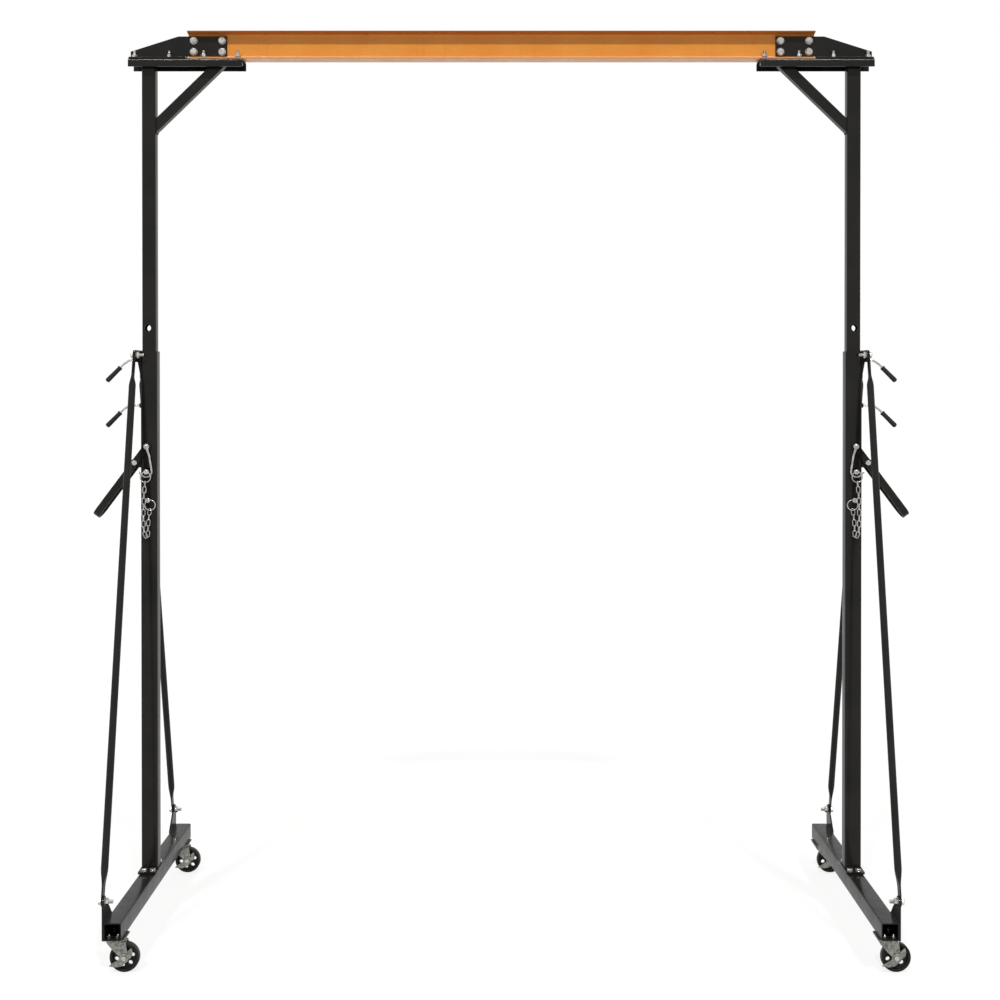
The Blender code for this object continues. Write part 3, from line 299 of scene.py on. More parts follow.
def evaluated_mesh(made):
    """The mesh with its modifiers applied and its doubles merged."""
    bpy.context.view_layer.update()
    graph = bpy.context.evaluated_depsgraph_get()
    mesh = bpy.data.meshes.new_from_object(made.evaluated_get(graph))
    bm = bmesh.new()
    bm.from_mesh(mesh)
    bmesh.ops.remove_doubles(bm, verts=bm.verts, dist=0.00001)
    bm.to_mesh(mesh)
    bm.free()
    return mesh


def box(low, high):
    low, high = Vector(low), Vector(high)
    bm = bmesh.new()
    place = Matrix.Translation((low + high) / 2) @ Matrix.Diagonal((*(high - low), 1))
    bmesh.ops.create_cube(bm, size=1, matrix=place)
    return solid(bm)


def facing(start, direction):
    """From +Z at the origin to a direction at a start."""
    turn = Vector(direction).to_track_quat("Z", "Y").to_matrix().to_4x4()
    return Matrix.Translation(Vector(start)) @ turn


def rod(start, end, radius, sides=40):
    start, end = Vector(start), Vector(end)
    bm = bmesh.new()
    bmesh.ops.create_cone(bm, cap_ends=True, segments=sides, radius1=radius, radius2=radius,
                          depth=(end - start).length,
                          matrix=facing((start + end) / 2, end - start))
    return solid(bm)


def from_curve(curve):
    drawn = bpy.data.objects.new("curve", curve)
    SCRATCH.objects.link(drawn)
    mesh = evaluated_mesh(drawn)
    bpy.data.objects.remove(drawn)
    bm = bmesh.new()
    bm.from_mesh(mesh)
    bmesh.ops.recalc_face_normals(bm, faces=bm.faces)
    return solid(bm)


def spline(curve, points, closed, radii=None):
    line = curve.splines.new("POLY")
    line.points.add(len(points) - 1)
    for index, (point, place) in enumerate(zip(line.points, points)):
        point.co = (*place, 1.0)
        if radii:
            point.radius = radii[index]
    line.use_cyclic_u = closed


AXES = {
    "X": Matrix(((0, 0, 1, 0), (1, 0, 0, 0), (0, 1, 0, 0), (0, 0, 0, 1))),
    "Y": Matrix(((1, 0, 0, 0), (0, 0, -1, 0), (0, 1, 0, 0), (0, 0, 0, 1))),
    "Z": Matrix.Identity(4),
}


def prism(outline, axis, low, high):
    """An outline in (y, z), (x, z) or (x, y), pushed along the third axis."""
    low, high = min(low, high), max(low, high)
    curve = bpy.data.curves.new("outline", "CURVE")
    curve.dimensions = "2D"
    curve.fill_mode = "BOTH"
    curve.extrude = (high - low) / 2
    spline(curve, [(a, b, 0) for a, b in outline], closed=True)
    made = from_curve(curve)
    middle = Vector([(low + high) / 2 if axis == name else 0 for name in "XYZ"])
    made.data.transform(Matrix.Translation(middle) @ AXES[axis])
    return made


def wire(points, radius, closed=False, radii=None, resolution=6):
    curve = bpy.data.curves.new("wire", "CURVE")
    curve.dimensions = "3D"
    curve.bevel_depth = radius
    curve.bevel_resolution = resolution
    curve.use_fill_caps = not closed
    spline(curve, points, closed, radii)
    return from_curve(curve)


def turned(profile, place=None, steps=48, closed=False):
    """A profile of (radius, height), down its outer side, turned round Z and put in place."""
    bm = bmesh.new()
    verts = [bm.verts.new((radius, 0, height)) for radius, height in profile]
    for one, two in zip(verts, verts[1:]):
        bm.edges.new((one, two))
    if closed:
        bm.edges.new((verts[-1], verts[0]))
    made = solid(bm)
    screw = made.modifiers.new("turn", "SCREW")
    screw.steps = steps
    screw.render_steps = steps
    screw.use_merge_vertices = True
    screw.merge_threshold = 0.00001
    made.data = evaluated_mesh(made)
    made.modifiers.clear()
    if place is not None:
        made.data.transform(place)
    return made


def merged(*solids):
    """Several solids as one mesh."""
    bm = bmesh.new()
    for made in solids:
        bm.from_mesh(made.data)
        bpy.data.objects.remove(made)
    return solid(bm)


def cut(made, *tools, operation="DIFFERENCE"):
    for tool in tools:
        step = made.modifiers.new("cut", "BOOLEAN")
        step.operation = operation
        step.object = tool
    mesh = evaluated_mesh(made)
    made.modifiers.clear()
    made.data = mesh
    for tool in tools:
        bpy.data.objects.remove(tool)
    return made


def moved(made, place):
    made.data.transform(place)
    return made


def arc(centre, radius, start, end, steps):
    angles = [math.radians(start + (end - start) * i / steps) for i in range(steps + 1)]
    return [(centre[0] + radius * math.cos(a), centre[1] + radius * math.sin(a))
            for a in angles]


def rounded(width, height, radius, centre=(0, 0)):
    points = []
    for quarter, (x, y) in enumerate(((1, 1), (-1, 1), (-1, -1), (1, -1))):
        corner = (centre[0] + x * (width / 2 - radius), centre[1] + y * (height / 2 - radius))
        points += arc(corner, radius, 90 * quarter, 90 * quarter + 90, 5)
    return points


def square_tube(size, wall, radius, axis, low, high, centre):
    tube = prism(rounded(size, size, radius, centre), axis, low, high)
    inside = size - 2 * wall
    return cut(tube, prism(rounded(inside, inside, radius - wall * 0.8, centre), axis,
                           low - 0.01, high + 0.01))


# ---- fasteners and welds

def hexagon(radius, low, high, place, nut=False):
    """A hex head or nut, its corners turned off at the top, and at both ends on a nut."""
    chamfer = 0.12
    cap = radius * chamfer
    bm = bmesh.new()
    levels = [(1.0, low), (1.0, high - cap), (1.0 - chamfer * 0.9, high)]
    if nut:
        levels[0:1] = [(1.0 - chamfer * 0.9, low), (1.0, low + cap)]
    rings = []
    for scale, height in levels:
        rings.append([bm.verts.new((radius * scale * math.cos(math.pi * k / 3),
                                    radius * scale * math.sin(math.pi * k / 3), height))
                      for k in range(6)])
    for one, two in zip(rings, rings[1:]):
        for k in range(6):
            bm.faces.new((one[k], one[(k + 1) % 6], two[(k + 1) % 6], two[k]))
    bm.faces.new(rings[0][::-1])
    bm.faces.new(rings[-1])
    return moved(solid(bm), place)


def thread(radius, low, high, place, pitch=0.0015):
    """A threaded end, as close rings with a chamfered tip."""
    profile = [(0, high), (radius * 0.78, high), (radius * 0.92, high - 0.0010)]
    height = high - 0.0010
    while height - pitch > low:
        profile += [(radius, height - pitch * 0.45), (radius * 0.88, height - pitch)]
        height -= pitch
    profile += [(radius * 0.88, low), (0, low)]
    return turned(profile, place, steps=20)


def washer(radius, low, high, place):
    soft = (high - low) * 0.25
    return turned([(0, high), (radius - soft, high), (radius, high - soft), (radius, low + soft),
                   (radius - soft, low), (0, low)], place, steps=36)


def bolt(seat, direction, size, grip, past=0.008, turn=0.0):
    """A bolt of a thread size: its head and washer on the seat, which faces a direction, and
    its washer and nut a grip length behind."""
    place = facing(seat, direction) @ Matrix.Rotation(turn, 4, "Z")
    flip = facing(Vector(seat) - Vector(direction).normalized() * grip, -Vector(direction))
    flip = flip @ Matrix.Rotation(turn * 1.7 + 0.3, 4, "Z")
    head, thick = size * 0.92, size * 0.15
    pieces = [washer(size * 0.98, 0.0, thick, place),
              hexagon(head, thick, thick + size * 0.62, place),
              washer(size * 0.98, 0.0, thick, flip),
              hexagon(head, thick, thick + size * 0.8, flip, nut=True),
              thread(size / 2, 0.0, thick + size * 0.8 + past, flip)]
    return merged(*pieces)


def weld(points, radius=0.0024, ripple=0.0032):
    """A weld bead: overlapping ripples along a line of points."""
    route, radii = [], []
    for one, two in zip(points, points[1:]):
        one, two = Vector(one), Vector(two)
        steps = max(int((two - one).length / ripple), 1)
        for step in range(steps):
            for part, swell in ((0.0, 0.86), (0.5, 1.08)):
                route.append(tuple(one.lerp(two, (step + part) / steps)))
                radii.append(swell + 0.08 * math.sin(7.3 * len(route)))
    route.append(tuple(points[-1]))
    radii.append(0.7)
    radii[0] = 0.7
    return wire(route, radius, radii=radii, resolution=2)


def weld_ring(half, height):
    """A bead round a mast."""
    corners = ((half, -half), (half, half), (-half, half), (-half, -half), (half, -half))
    return weld([(MAST_X + x, y, height) for x, y in corners])


# ---- pieces

def copied(made):
    copy = made.copy()
    copy.data = made.data.copy()
    SCRATCH.objects.link(copy)
    return copy


def mirrored(made):
    made.data.transform(Matrix.Diagonal((-1, 1, 1, 1)))
    made.data.flip_normals()


def put_in_scene(name, made, finish):
    made.name = name
    made.data.name = name
    SCRATCH.objects.unlink(made)
    bpy.context.scene.collection.objects.link(made)
    made.data.materials.clear()
    made.data.materials.append(MATERIALS[finish])
    made.data.shade_smooth()


def piece(name, made, finish, body, replaces=(), edge=0.0):
    """Turn a working solid into a named piece, its edges softened by a width."""
    put_in_scene(name, made, finish)
    made.data.set_sharp_from_angle(angle=math.radians(32))
    if edge:
        soften = made.modifiers.new("edges", "BEVEL")
        soften.width = edge
        soften.segments = 2
        soften.limit_method = "ANGLE"
        soften.angle_limit = math.radians(32)
        soften.harden_normals = True
    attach(made, body)
    if replaces:
        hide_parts(*replaces)


def sided(name, made, finish, body, replaces=(), edge=0.0):
    """The piece on the right, and its mirror image on the left."""
    for label, side in SIDES.items():
        copy = copied(made)
        if side < 0:
            mirrored(copy)
        nodes = [node.format(label) for node in replaces]
        piece(f"{label}_{name}", copy, finish, body.format(label), nodes, edge)
    bpy.data.objects.remove(made)


# ---- top frame

def build_beam():
    toe, root, fillet, web = 0.0058, 0.0095, 0.008, 0.0025
    quarter = [(FLANGE_HALF, 0.0), (FLANGE_HALF, toe)]
    quarter += arc((web + fillet, root + fillet), fillet, 270, 180, 6)
    right = quarter + [(y, BEAM_TOP - BEAM_LOW - z) for y, z in reversed(quarter)]
    outline = right + [(-y, z) for y, z in reversed(right)]
    beam = prism([(y, BEAM_LOW + z) for y, z in outline], "X", -BEAM_HALF, BEAM_HALF)
    piece("beam", beam, "beam_paint", "top_frame", ["i_beam"], edge=0.0009)


def build_channels():
    half, wall, radius, fillet = 0.050, CHANNEL_WALL, 0.009, 0.004
    top, under = CHANNEL_TOP, CHANNEL_TOP - CHANNEL_WALL
    outline = (arc((half - radius, top - radius), radius, 0, 90, 8)
               + arc((radius - half, top - radius), radius, 90, 180, 8)
               + [(-half, CHANNEL_LOW), (wall - half, CHANNEL_LOW)]
               + arc((wall - half + fillet, under - fillet), fillet, 180, 90, 5)
               + arc((half - wall - fillet, under - fillet), fillet, 90, 0, 5)
               + [(half - wall, CHANNEL_LOW), (half, CHANNEL_LOW)])
    channel = prism(outline, "X", CHANNEL_IN, CHANNEL_OUT)
    sided("channel", channel, "frame_paint", "top_frame", ["{}_head_channel"], edge=0.0008)


def build_gussets():
    """Angles whose upright lies on the beam's web, and whose foot stands on the channel."""
    low, top, inner = CHANNEL_TOP + GAP, 3.263, 3.192
    foot_in, foot_out = GUSSET_FOOT
    thick, reach = 0.006, 0.044
    for end, way in ENDS.items():
        near, far = way * GUSSET_NEAR, way * GUSSET_FAR
        outline = [(1.013, inner), (1.013, top), (1.193, top), (foot_out, 3.2073),
                   (foot_out, low), (foot_in, low), (foot_in, inner)]
        plate = prism(outline, "Y", near, far)
        foot = box((foot_in, min(near, way * reach), low),
                   (foot_out, max(near, way * reach), low + thick))
        bend = [(near, low), (way * 0.0138, low + thick)]
        bend += [(way * (0.0138 - r), low + thick + t)
                 for r, t in ((0.0040, 0.0012), (0.0055, 0.0030), (0.0060, 0.0060))]
        gusset = merged(plate, foot, prism(bend, "X", foot_in, foot_out))
        sided(f"gusset_{end}", gusset, "frame_paint", "top_frame", ["{}_gusset_" + end],
              edge=0.0007)


def build_head_bolts():
    bolts = []
    through_web = [(x, z) for x in (1.031, 1.136) for z in (3.206, 3.247)]
    for index, (x, z) in enumerate(through_web):
        bolts.append(bolt((x, -GUSSET_FAR, z), (0, -1, 0), 0.0145, 2 * GUSSET_FAR,
                          turn=0.4 + index))
    for index, x in enumerate((0.970, 1.0965, 1.2235, 1.3505)):
        grip = 0.0113 if x > GUSSET_FOOT[0] else 0.0133      # to the foot, or to the flange
        for way in (-1, 1):
            bolts.append(bolt((x, way * 0.0235, CHANNEL_TOP - CHANNEL_WALL), (0, 0, -1), 0.0115,
                              grip, past=0.014, turn=0.7 * index + way))
    sided("head_bolts", merged(*bolts), "zinc", "top_frame", edge=0.0003)


def build_inner_mast():
    mast = square_tube(INNER, 0.003, 0.005, "Z", INNER_BOTTOM, INNER_TOP, (MAST_X, 0))
    heights = [LOCK_Z + PITCH * k for k in range(-3, 7)]
    holes = [rod((SLOT_X, -0.1, z), (SLOT_X, 0.1, z), 0.012) for z in heights]
    sided("mast_inner", cut(mast, *holes), "frame_paint", "top_frame", ["{}_inner_mast"],
          edge=0.0004)


def build_knees():
    face, angle, size = MAST_X - INNER / 2 - GAP, math.radians(44), 0.038
    rise, run = math.sin(angle), math.cos(angle)
    low = CHANNEL_TOP - 0.269
    high = low + size / run
    upper, lower = [face - (INNER_TOP - z) * run / rise for z in (high, low)]
    outline = [(face, low), (face, high), (upper, INNER_TOP), (lower, INNER_TOP)]
    knee = prism(outline, "Y", -size / 2, size / 2)
    sided("knee", knee, "frame_paint", "top_frame", ["{}_knee_brace"], edge=0.0026)

    beads = [weld_ring(INNER / 2 + 0.001, INNER_TOP - 0.0015)]
    half = size / 2 + 0.0005
    for way in (-1, 1):
        beads.append(weld([(face - 0.0008, way * half, low), (face - 0.0008, way * half, high)]))
        beads.append(weld([(upper, way * half, INNER_TOP - 0.001),
                           (lower, way * half, INNER_TOP - 0.001)]))
    for z in (low - 0.0005, high + 0.001):
        beads.append(weld([(face - 0.001, -half, z), (face - 0.001, half, z)]))
    sided("head_welds", merged(*beads), "frame_paint", "top_frame")


# ---- base frames

def build_outer_mast():
    tube = square_tube(OUTER, 0.004, 0.006, "Z", OUTER_BOTTOM, OUTER_TOP, (MAST_X, 0))
    slot = prism(arc((SLOT_X, LIFT_Z + 0.003), 0.011, 0, 180, 16)
                 + arc((SLOT_X, LOCK_Z + 0.001), 0.011, 180, 360, 16), "Y", -0.1, 0.1)
    clamps = [rod((MAST_X, 0, z), (MAST_X + 0.1, 0, z), SCREW_HOLE) for z in CLAMP_Z.values()]
    sided("mast_outer", cut(tube, slot, *clamps), "frame_paint", "{}_base", ["{}_outer_mast"],
          edge=0.0006)


def build_mast_brackets():
    """The foot plate, the wing and its ribs for the braces, the lugs for the lever, and the
    weld nuts for the clamp screws."""
    root, thick = FACE - 0.001, 0.0025
    foot = prism(rounded(0.068, 0.152, 0.004, (MAST_X, 0)), "Z", BASE_TOP + GAP, OUTER_BOTTOM)
    wing = prism(rounded(0.140, 0.044, 0.006, (0, 2.082)), "X", WING_IN, WING_OUT)
    wing_holes = [rod((WING_IN - 0.01, way * WING_BOLT_Y, WING_BOLT_Z),
                      (WING_OUT + 0.015, way * WING_BOLT_Y, WING_BOLT_Z), BOLT_HOLE)
                  for way in (-1, 1)]
    screw_hole = rod((WING_IN - 0.01, 0, CLAMP_Z["upper"]),
                     (WING_OUT + 0.015, 0, CLAMP_Z["upper"]), SCREW_HOLE)
    wing = cut(wing, screw_hole, *wing_holes)
    edge = WING_IN + 0.0005
    rib = [(root, 2.1), (edge, 2.1), (edge, 2.060), (root, 1.997)]
    ribs = [prism(rib, "Y", way * 0.0265 - thick, way * 0.0265 + thick) for way in (-1, 1)]
    lug = ([(root, PIVOT.z - 0.018)] + arc((PIVOT.x, PIVOT.z), 0.016, -90, 90, 16)
           + [(root, PIVOT.z + 0.018)])
    lugs = [prism(lug, "Y", way * 0.0245 - thick, way * 0.0245 + thick) for way in (-1, 1)]
    sided("mast_brackets", merged(foot, wing, *ribs, *lugs), "frame_paint", "{}_base",
          edge=0.0007)

    nuts = [hexagon(0.010, 0.0, 0.0098, facing((FACE, 0, z), (1, 0, 0)), nut=True)
            for z in CLAMP_Z.values()]
    sided("clamp_nuts", merged(*nuts), "frame_paint", "{}_base", edge=0.0003)


def build_base_bolts():
    """The bolts down through the foot plate, and the lever's pivot bolt."""
    metal = []
    for way in (-1, 1):
        for index, x in enumerate((MAST_X - 0.017, MAST_X + 0.013)):
            metal.append(bolt((x, way * 0.056, OUTER_BOTTOM), (0, 0, 1), 0.0115, 0.0123,
                              turn=0.5 + 1.3 * index + way))
        place = facing((PIVOT.x, way * 0.0363, PIVOT.z), (0, way, 0))
        place = place @ Matrix.Rotation(0.35, 4, "Z")
        metal.append(hexagon(0.0108, 0.0003, 0.0073, place, nut=way > 0))
    metal.append(rod((PIVOT.x, -0.0364, PIVOT.z), (PIVOT.x, 0.0436, PIVOT.z), 0.006))
    metal.append(rod((PIVOT.x, -0.0300, PIVOT.z), (PIVOT.x, 0.0300, PIVOT.z), 0.009))
    sided("base_bolts", merged(*metal), "zinc", "{}_base", edge=0.0003)


def build_mast_welds():
    skin = FACE + 0.0006
    beads = [weld_ring(OUTER / 2 + 0.0008, OUTER_BOTTOM + 0.001)]
    for way in (-1, 1):
        for x, y, low, high, radius in ((skin, 0.0293, 2.000, 2.098, 0.0020),
                                        (WING_IN - 0.0002, 0.0293, 2.064, 2.098, 0.0020),
                                        (skin, 0.0273, PIVOT.z - 0.017, PIVOT.z + 0.017, 0.0018)):
            beads.append(weld([(x, way * y, low), (x, way * y, high)], radius=radius))
    for z in CLAMP_Z.values():
        circle = arc((0, z), 0.0098, 0, 330, 12)
        beads.append(weld([(skin, y, h) for y, h in circle], radius=0.0018))
    sided("mast_welds", merged(*beads), "frame_paint", "{}_base")


def build_base_beam():
    beam = square_tube(OUTER, 0.004, 0.005, "Y", -BASE_END, BASE_END,
                       (MAST_X, (BASE_LOW + BASE_TOP) / 2))
    parts, beads = [beam], []
    top, corner, start = 0.265, 0.023, BASE_END - 0.119
    outline = [(BASE_END, BASE_LOW)]
    outline += arc((BASE_END - corner, top - corner), corner, 0, 110, 12)
    outline += [(start, BASE_TOP), (start, BASE_LOW)]
    for way in ENDS.values():
        ear = prism([(way * y, z) for y, z in outline], "X", EAR_IN, EAR_OUT)
        bolt_y = way * EAR_BOLT_Y
        hole = rod((EAR_IN - 0.0095, bolt_y, EAR_BOLT_Z), (EAR_OUT + 0.015, bolt_y, EAR_BOLT_Z),
                   BOLT_HOLE)
        parts.append(cut(ear, hole))
        beads.append(weld([(FACE - 0.0008, way * y, BASE_TOP - 0.001) for y in (0.490, 0.600)]))
        beads.append(weld([(FACE + 0.001, way * (start - 0.0005), z)
                           for z in (BASE_LOW + 0.004, BASE_TOP - 0.004)]))
    sided("base", merged(*parts), "frame_paint", "{}_base", ["{}_base_beam"], edge=0.0007)
    sided("base_welds", merged(*beads), "frame_paint", "{}_base")


def brace_ring(half, thick):
    """A section of a brace: a circle, or two half circles apart where it is pressed flat."""
    sides, reach = 40, half - thick
    points = []
    for step in range(sides):
        angle = 2 * math.pi * (step + 0.5) / sides
        points.append((math.copysign(reach, math.cos(angle)) + thick * math.cos(angle),
                       thick * math.sin(angle)))
    return points


def build_braces():
    half, radius, thin, gap = 0.018, 0.0125, 0.0025, 0.0028
    ends = {"foot": (0.045, 0.065), "top": (0.076, 0.042)}       # flat, then tapering
    for end, way in ENDS.items():
        top = Vector((WING_OUT + gap, way * WING_BOLT_Y, WING_BOLT_Z))
        foot = Vector((EAR_OUT + gap, way * EAR_BOLT_Y, EAR_BOLT_Z))
        span = Vector((0, top.y - foot.y, top.z - foot.z))
        length, along = span.length, span.normalized()
        across = Vector((1, 0, 0)).cross(along)
        cap = [-half * math.cos(math.radians(a)) for a in (4, 12, 22, 34, 48, 64, 90)]
        stops = {name: cap + [flat + press * step / 14 for step in range(15)]
                 for name, (flat, press) in ends.items()}
        start, stop = sum(ends["foot"]), length - sum(ends["top"])
        bm, rings = bmesh.new(), []
        for position in stops["foot"] + [length - p for p in reversed(stops["top"])]:
            inward = min(position, length - position)
            flat, press = ends["foot" if position < length / 2 else "top"]
            blend = min(max((inward - flat) / press, 0), 1)
            blend = blend * blend * (3 - 2 * blend)
            wide = half * (1 - blend) + radius * blend
            if inward < 0:
                wide *= math.sqrt(max(1 - (inward / half) ** 2, 0))
            thick = thin * (1 - blend) + radius * blend
            slide = min(max((position - start) / (stop - start), 0), 1)
            centre = foot + along * position
            x = foot.x + (top.x - foot.x) * slide
            rings.append([bm.verts.new((x + b, *(centre + across * a).yz))
                          for a, b in brace_ring(max(wide, thick * 1.02), thick)])
        for lower, upper in zip(rings, rings[1:]):
            for i, vert in enumerate(lower):
                j = (i + 1) % len(lower)
                bm.faces.new((vert, lower[j], upper[j], upper[i]))
        bm.faces.new(rings[0])
        bm.faces.new(rings[-1])
        bmesh.ops.recalc_face_normals(bm, faces=bm.faces)
        sided(f"stay_{end}", solid(bm), "frame_paint", "{}_base", ["{}_brace_" + end])

        bolts = [bolt((at.x + thin, at.y, at.z), (1, 0, 0), size, 0.0103, past=past, turn=turn)
                 for at, size, past, turn in ((top, 0.0125, 0.016, 0.2),
                                              (foot, 0.0135, 0.015, 0.9))]
        sided(f"stay_bolts_{end}", merged(*bolts), "zinc", "{}_base", edge=0.0003)


# ---- clamps, lever, hooks, pins

def build_clamps():
    bend, corner, slope_in = 1.384, 0.024, math.radians(45)
    slope = Vector((math.cos(slope_in), 0, -math.sin(slope_in)))
    profile = [(0.0043, -0.050), (0.0043, 0.0), (0.0076, 0.0), (0.0088, -0.0010),
               (0.0091, -0.0026), (0.0091, -0.0052), (0.0084, -0.0068), (0.0082, -0.0120),
               (0.0086, -0.0380), (0.0091, -0.0580), (0.0092, -0.0650), (0.0087, -0.0690),
               (0.0070, -0.0714), (0.0040, -0.0728), (0, -0.0730)]
    for level, z in CLAMP_Z.items():
        start = bend - 0.014
        points = [(1.3253, z), (1.331, z), (start, z)]
        points += arc((start, z - corner), corner, 90, 45, 8)[1:]
        line = Vector((bend, 0, z))
        mouth = line + slope * 0.037
        inner = mouth + slope * 0.050
        points += [(p.x, p.z) for p in (line + slope * 0.020, mouth, inner)]
        crank = wire([(x, 0, h) for x, h in points], 0.0040)
        screw = thread(0.00415, 0.0, 0.009, facing((1.3385, 0, z), (1, 0, 0)), pitch=0.00125)
        body = f"{{}}_clamp_{level}_body"
        sided(f"crank_{level}", merged(crank, screw), "zinc", body, [f"{{}}_clamp_{level}"],
              edge=0.0003)
        grip = turned(profile, facing(mouth, -slope))
        sided(f"grip_{level}", grip, "grip", body, [f"{{}}_clamp_{level}_grip"])


def lever_place():
    """From the lever's own axes, along it and across it, to its place at rest."""
    along = Vector((math.cos(LEVER_DROP), 0, -math.sin(LEVER_DROP)))
    across = Vector((0, 1, 0))
    turn = Matrix((along, across, along.cross(across))).transposed().to_4x4()
    return Matrix.Translation(PIVOT) @ turn


def build_lever():
    middle, half = LEVER_LENGTH - STRAP_OUT, 0.013
    outline = ([(-SHORT_ARM, -STRAP_OUT)] + arc((middle, 0), STRAP_OUT, -90, 90, 24)
               + [(-SHORT_ARM, STRAP_OUT), (-SHORT_ARM, STRAP_IN)]
               + arc((middle, 0), STRAP_IN, 90, -90, 24) + [(-SHORT_ARM, -STRAP_IN)])
    strap = prism(outline, "Z", -half, half)
    ends = [rod((-SHORT_ARM, way * STRAP_IN, 0), (-SHORT_ARM, way * STRAP_OUT, 0), 0.0155)
            for way in (-1, 1)]
    strap = merged(cut(strap, rod((0, -0.05, 0), (0, 0.05, 0), 0.0066)), *ends)
    sided("lever", moved(strap, lever_place()), "frame_paint", "{}_lever", ["{}_jack_lever"],
          edge=0.0009)
    studs = []
    for way in (-1, 1):
        place = facing((EYE.x, way * STUD_Y, EYE.z), (0, way, 0))
        studs.append(washer(0.0085, 0.0, 0.0012, place))
        studs.append(turned([(0, 0.0050), (0.0030, 0.0048), (0.0055, 0.0040), (0.0070, 0.0026),
                             (0.0075, 0.0012), (0, 0.0012)], place, steps=32))
        studs.append(rod((EYE.x, way * 0.034, EYE.z), (EYE.x, way * (STUD_Y + 0.0001), EYE.z),
                         0.005))
    sided("lever_studs", merged(*studs), "zinc", "{}_lever", edge=0.0002)


def smooth(points, per_span):
    """Points on a Catmull-Rom curve through the given ones."""
    points = [Vector(point) for point in points]
    knots = [points[0], *points, points[-1]]
    route = []
    for a, b, c, d in zip(knots, knots[1:], knots[2:], knots[3:]):
        for step in range(per_span):
            t = step / per_span
            route.append(0.5 * (2 * b + (c - a) * t + (2 * a - 5 * b + 4 * c - d) * t * t
                                + (3 * b - a - 3 * c + d) * t ** 3))
    return route + [points[-1]]


def build_hooks():
    drop = EYE.z - LIFT_Z
    route = [(-0.0020, -0.0085), (-0.0055, -0.020), (-0.0100, -0.034), (-0.0125, -0.050),
             (-0.0168, -drop + 0.016)]
    route += [(x, z - drop) for x, z in arc((0.001, 0.001), 0.0195, 170, 310, 9)]
    route += [(0.0190, -drop - 0.0095), (0.0255, -drop - 0.0045), (0.0290, -drop + 0.0005)]
    for end, way in ENDS.items():
        y = way * HOOK_Y
        line = smooth([(EYE.x + x, y, EYE.z + z) for x, z in route], 4)
        radii = [1.25 - 0.25 * min(i / 9, 1) for i in range(len(line))]
        radii[-3:] = [0.95, 0.85, 0.72]
        bar = wire([tuple(point) for point in line], 0.0037, radii=radii)
        eye = turned([(0.0054, 0.0043), (0.0088, 0.0043), (0.0101, 0.0034), (0.0105, 0.0015),
                      (0.0105, -0.0015), (0.0101, -0.0034), (0.0088, -0.0043), (0.0054, -0.0043)],
                     facing((EYE.x, y, EYE.z), (0, 1, 0)), closed=True)
        sided(f"hook_link_{end}", merged(bar, eye), "zinc", "{}_hooks", ["{}_hook_" + end],
              edge=0.0002)


def ring_centre(kind):
    """Where a pin's ring hangs, below the hole near the pin's front end."""
    x, z, front, lean = PINS[kind]
    lean = math.radians(lean)
    hang = Vector((math.sin(lean), 0, -math.cos(lean))) * RING_RADIUS
    return Vector((x, front + 0.0045, z)) + hang


def build_pins():
    for kind, (x, z, front, _) in PINS.items():
        half, dome, steps = 0.055, 0.0045, 8
        cap = [(PIN_RADIUS * math.sin(a), half - dome * (1 - math.cos(a)))
               for a in (math.pi / 2 * step / steps for step in range(steps + 1))]
        pin = turned(cap + [(r, -h) for r, h in reversed(cap)],
                     facing((x, front + half, z), (0, 1, 0)))
        centre = ring_centre(kind)
        circle = arc((centre.x, centre.z), RING_RADIUS, 0, 360, 56)[:-1]
        ring = wire([(a, centre.y, b) for a, b in circle], RING_WIRE, closed=True)
        sided(f"pin_{kind}", merged(pin, ring), "zinc", f"{{}}_{kind}_pin_body",
              [f"{{}}_{kind}_pin"])


def link(place):
    """A chain link in its own XZ plane, its long way along Z."""
    length, width, wire_radius = 0.0275, 0.0155, 0.0016
    bend = width / 2 - wire_radius
    reach = length / 2 - wire_radius - bend
    loop = [(a, 0, b) for a, b in arc((0, reach), bend, 0, 180, 12)]
    loop += [(a, 0, b) for a, b in arc((0, -reach), bend, 180, 360, 12)]
    return moved(wire(loop, wire_radius, closed=True, resolution=4), place)


def chain(points, turn):
    """Links along a route, each turned a quarter from the last."""
    route = smooth(points, 24)
    walked, total = [0.0], 0.0
    for one, two in zip(route, route[1:]):
        total += (two - one).length
        walked.append(total)
    count = max(round(total / CHAIN_PITCH), 1)

    def at(distance):
        distance = min(max(distance, 0.0), total)
        for i in range(len(walked) - 1):
            if walked[i + 1] >= distance:
                share = (distance - walked[i]) / max(walked[i + 1] - walked[i], 1e-9)
                return route[i].lerp(route[i + 1], share)
        return route[-1]

    links = []
    for index in range(count):
        one, two = at(total * index / count), at(total * (index + 1) / count)
        along = (two - one).normalized()
        across = Vector((0, 1, 0)) if abs(along.y) < 0.9 else Vector((1, 0, 0))
        sideways = along.cross(across).normalized()
        axes = Matrix((sideways, across, along)).transposed().to_4x4()
        quarter = Matrix.Rotation(turn + math.pi / 2 * (index % 2), 4, "Z")
        links.append(link(Matrix.Translation((one + two) / 2) @ axes @ quarter))
    return merged(*links)


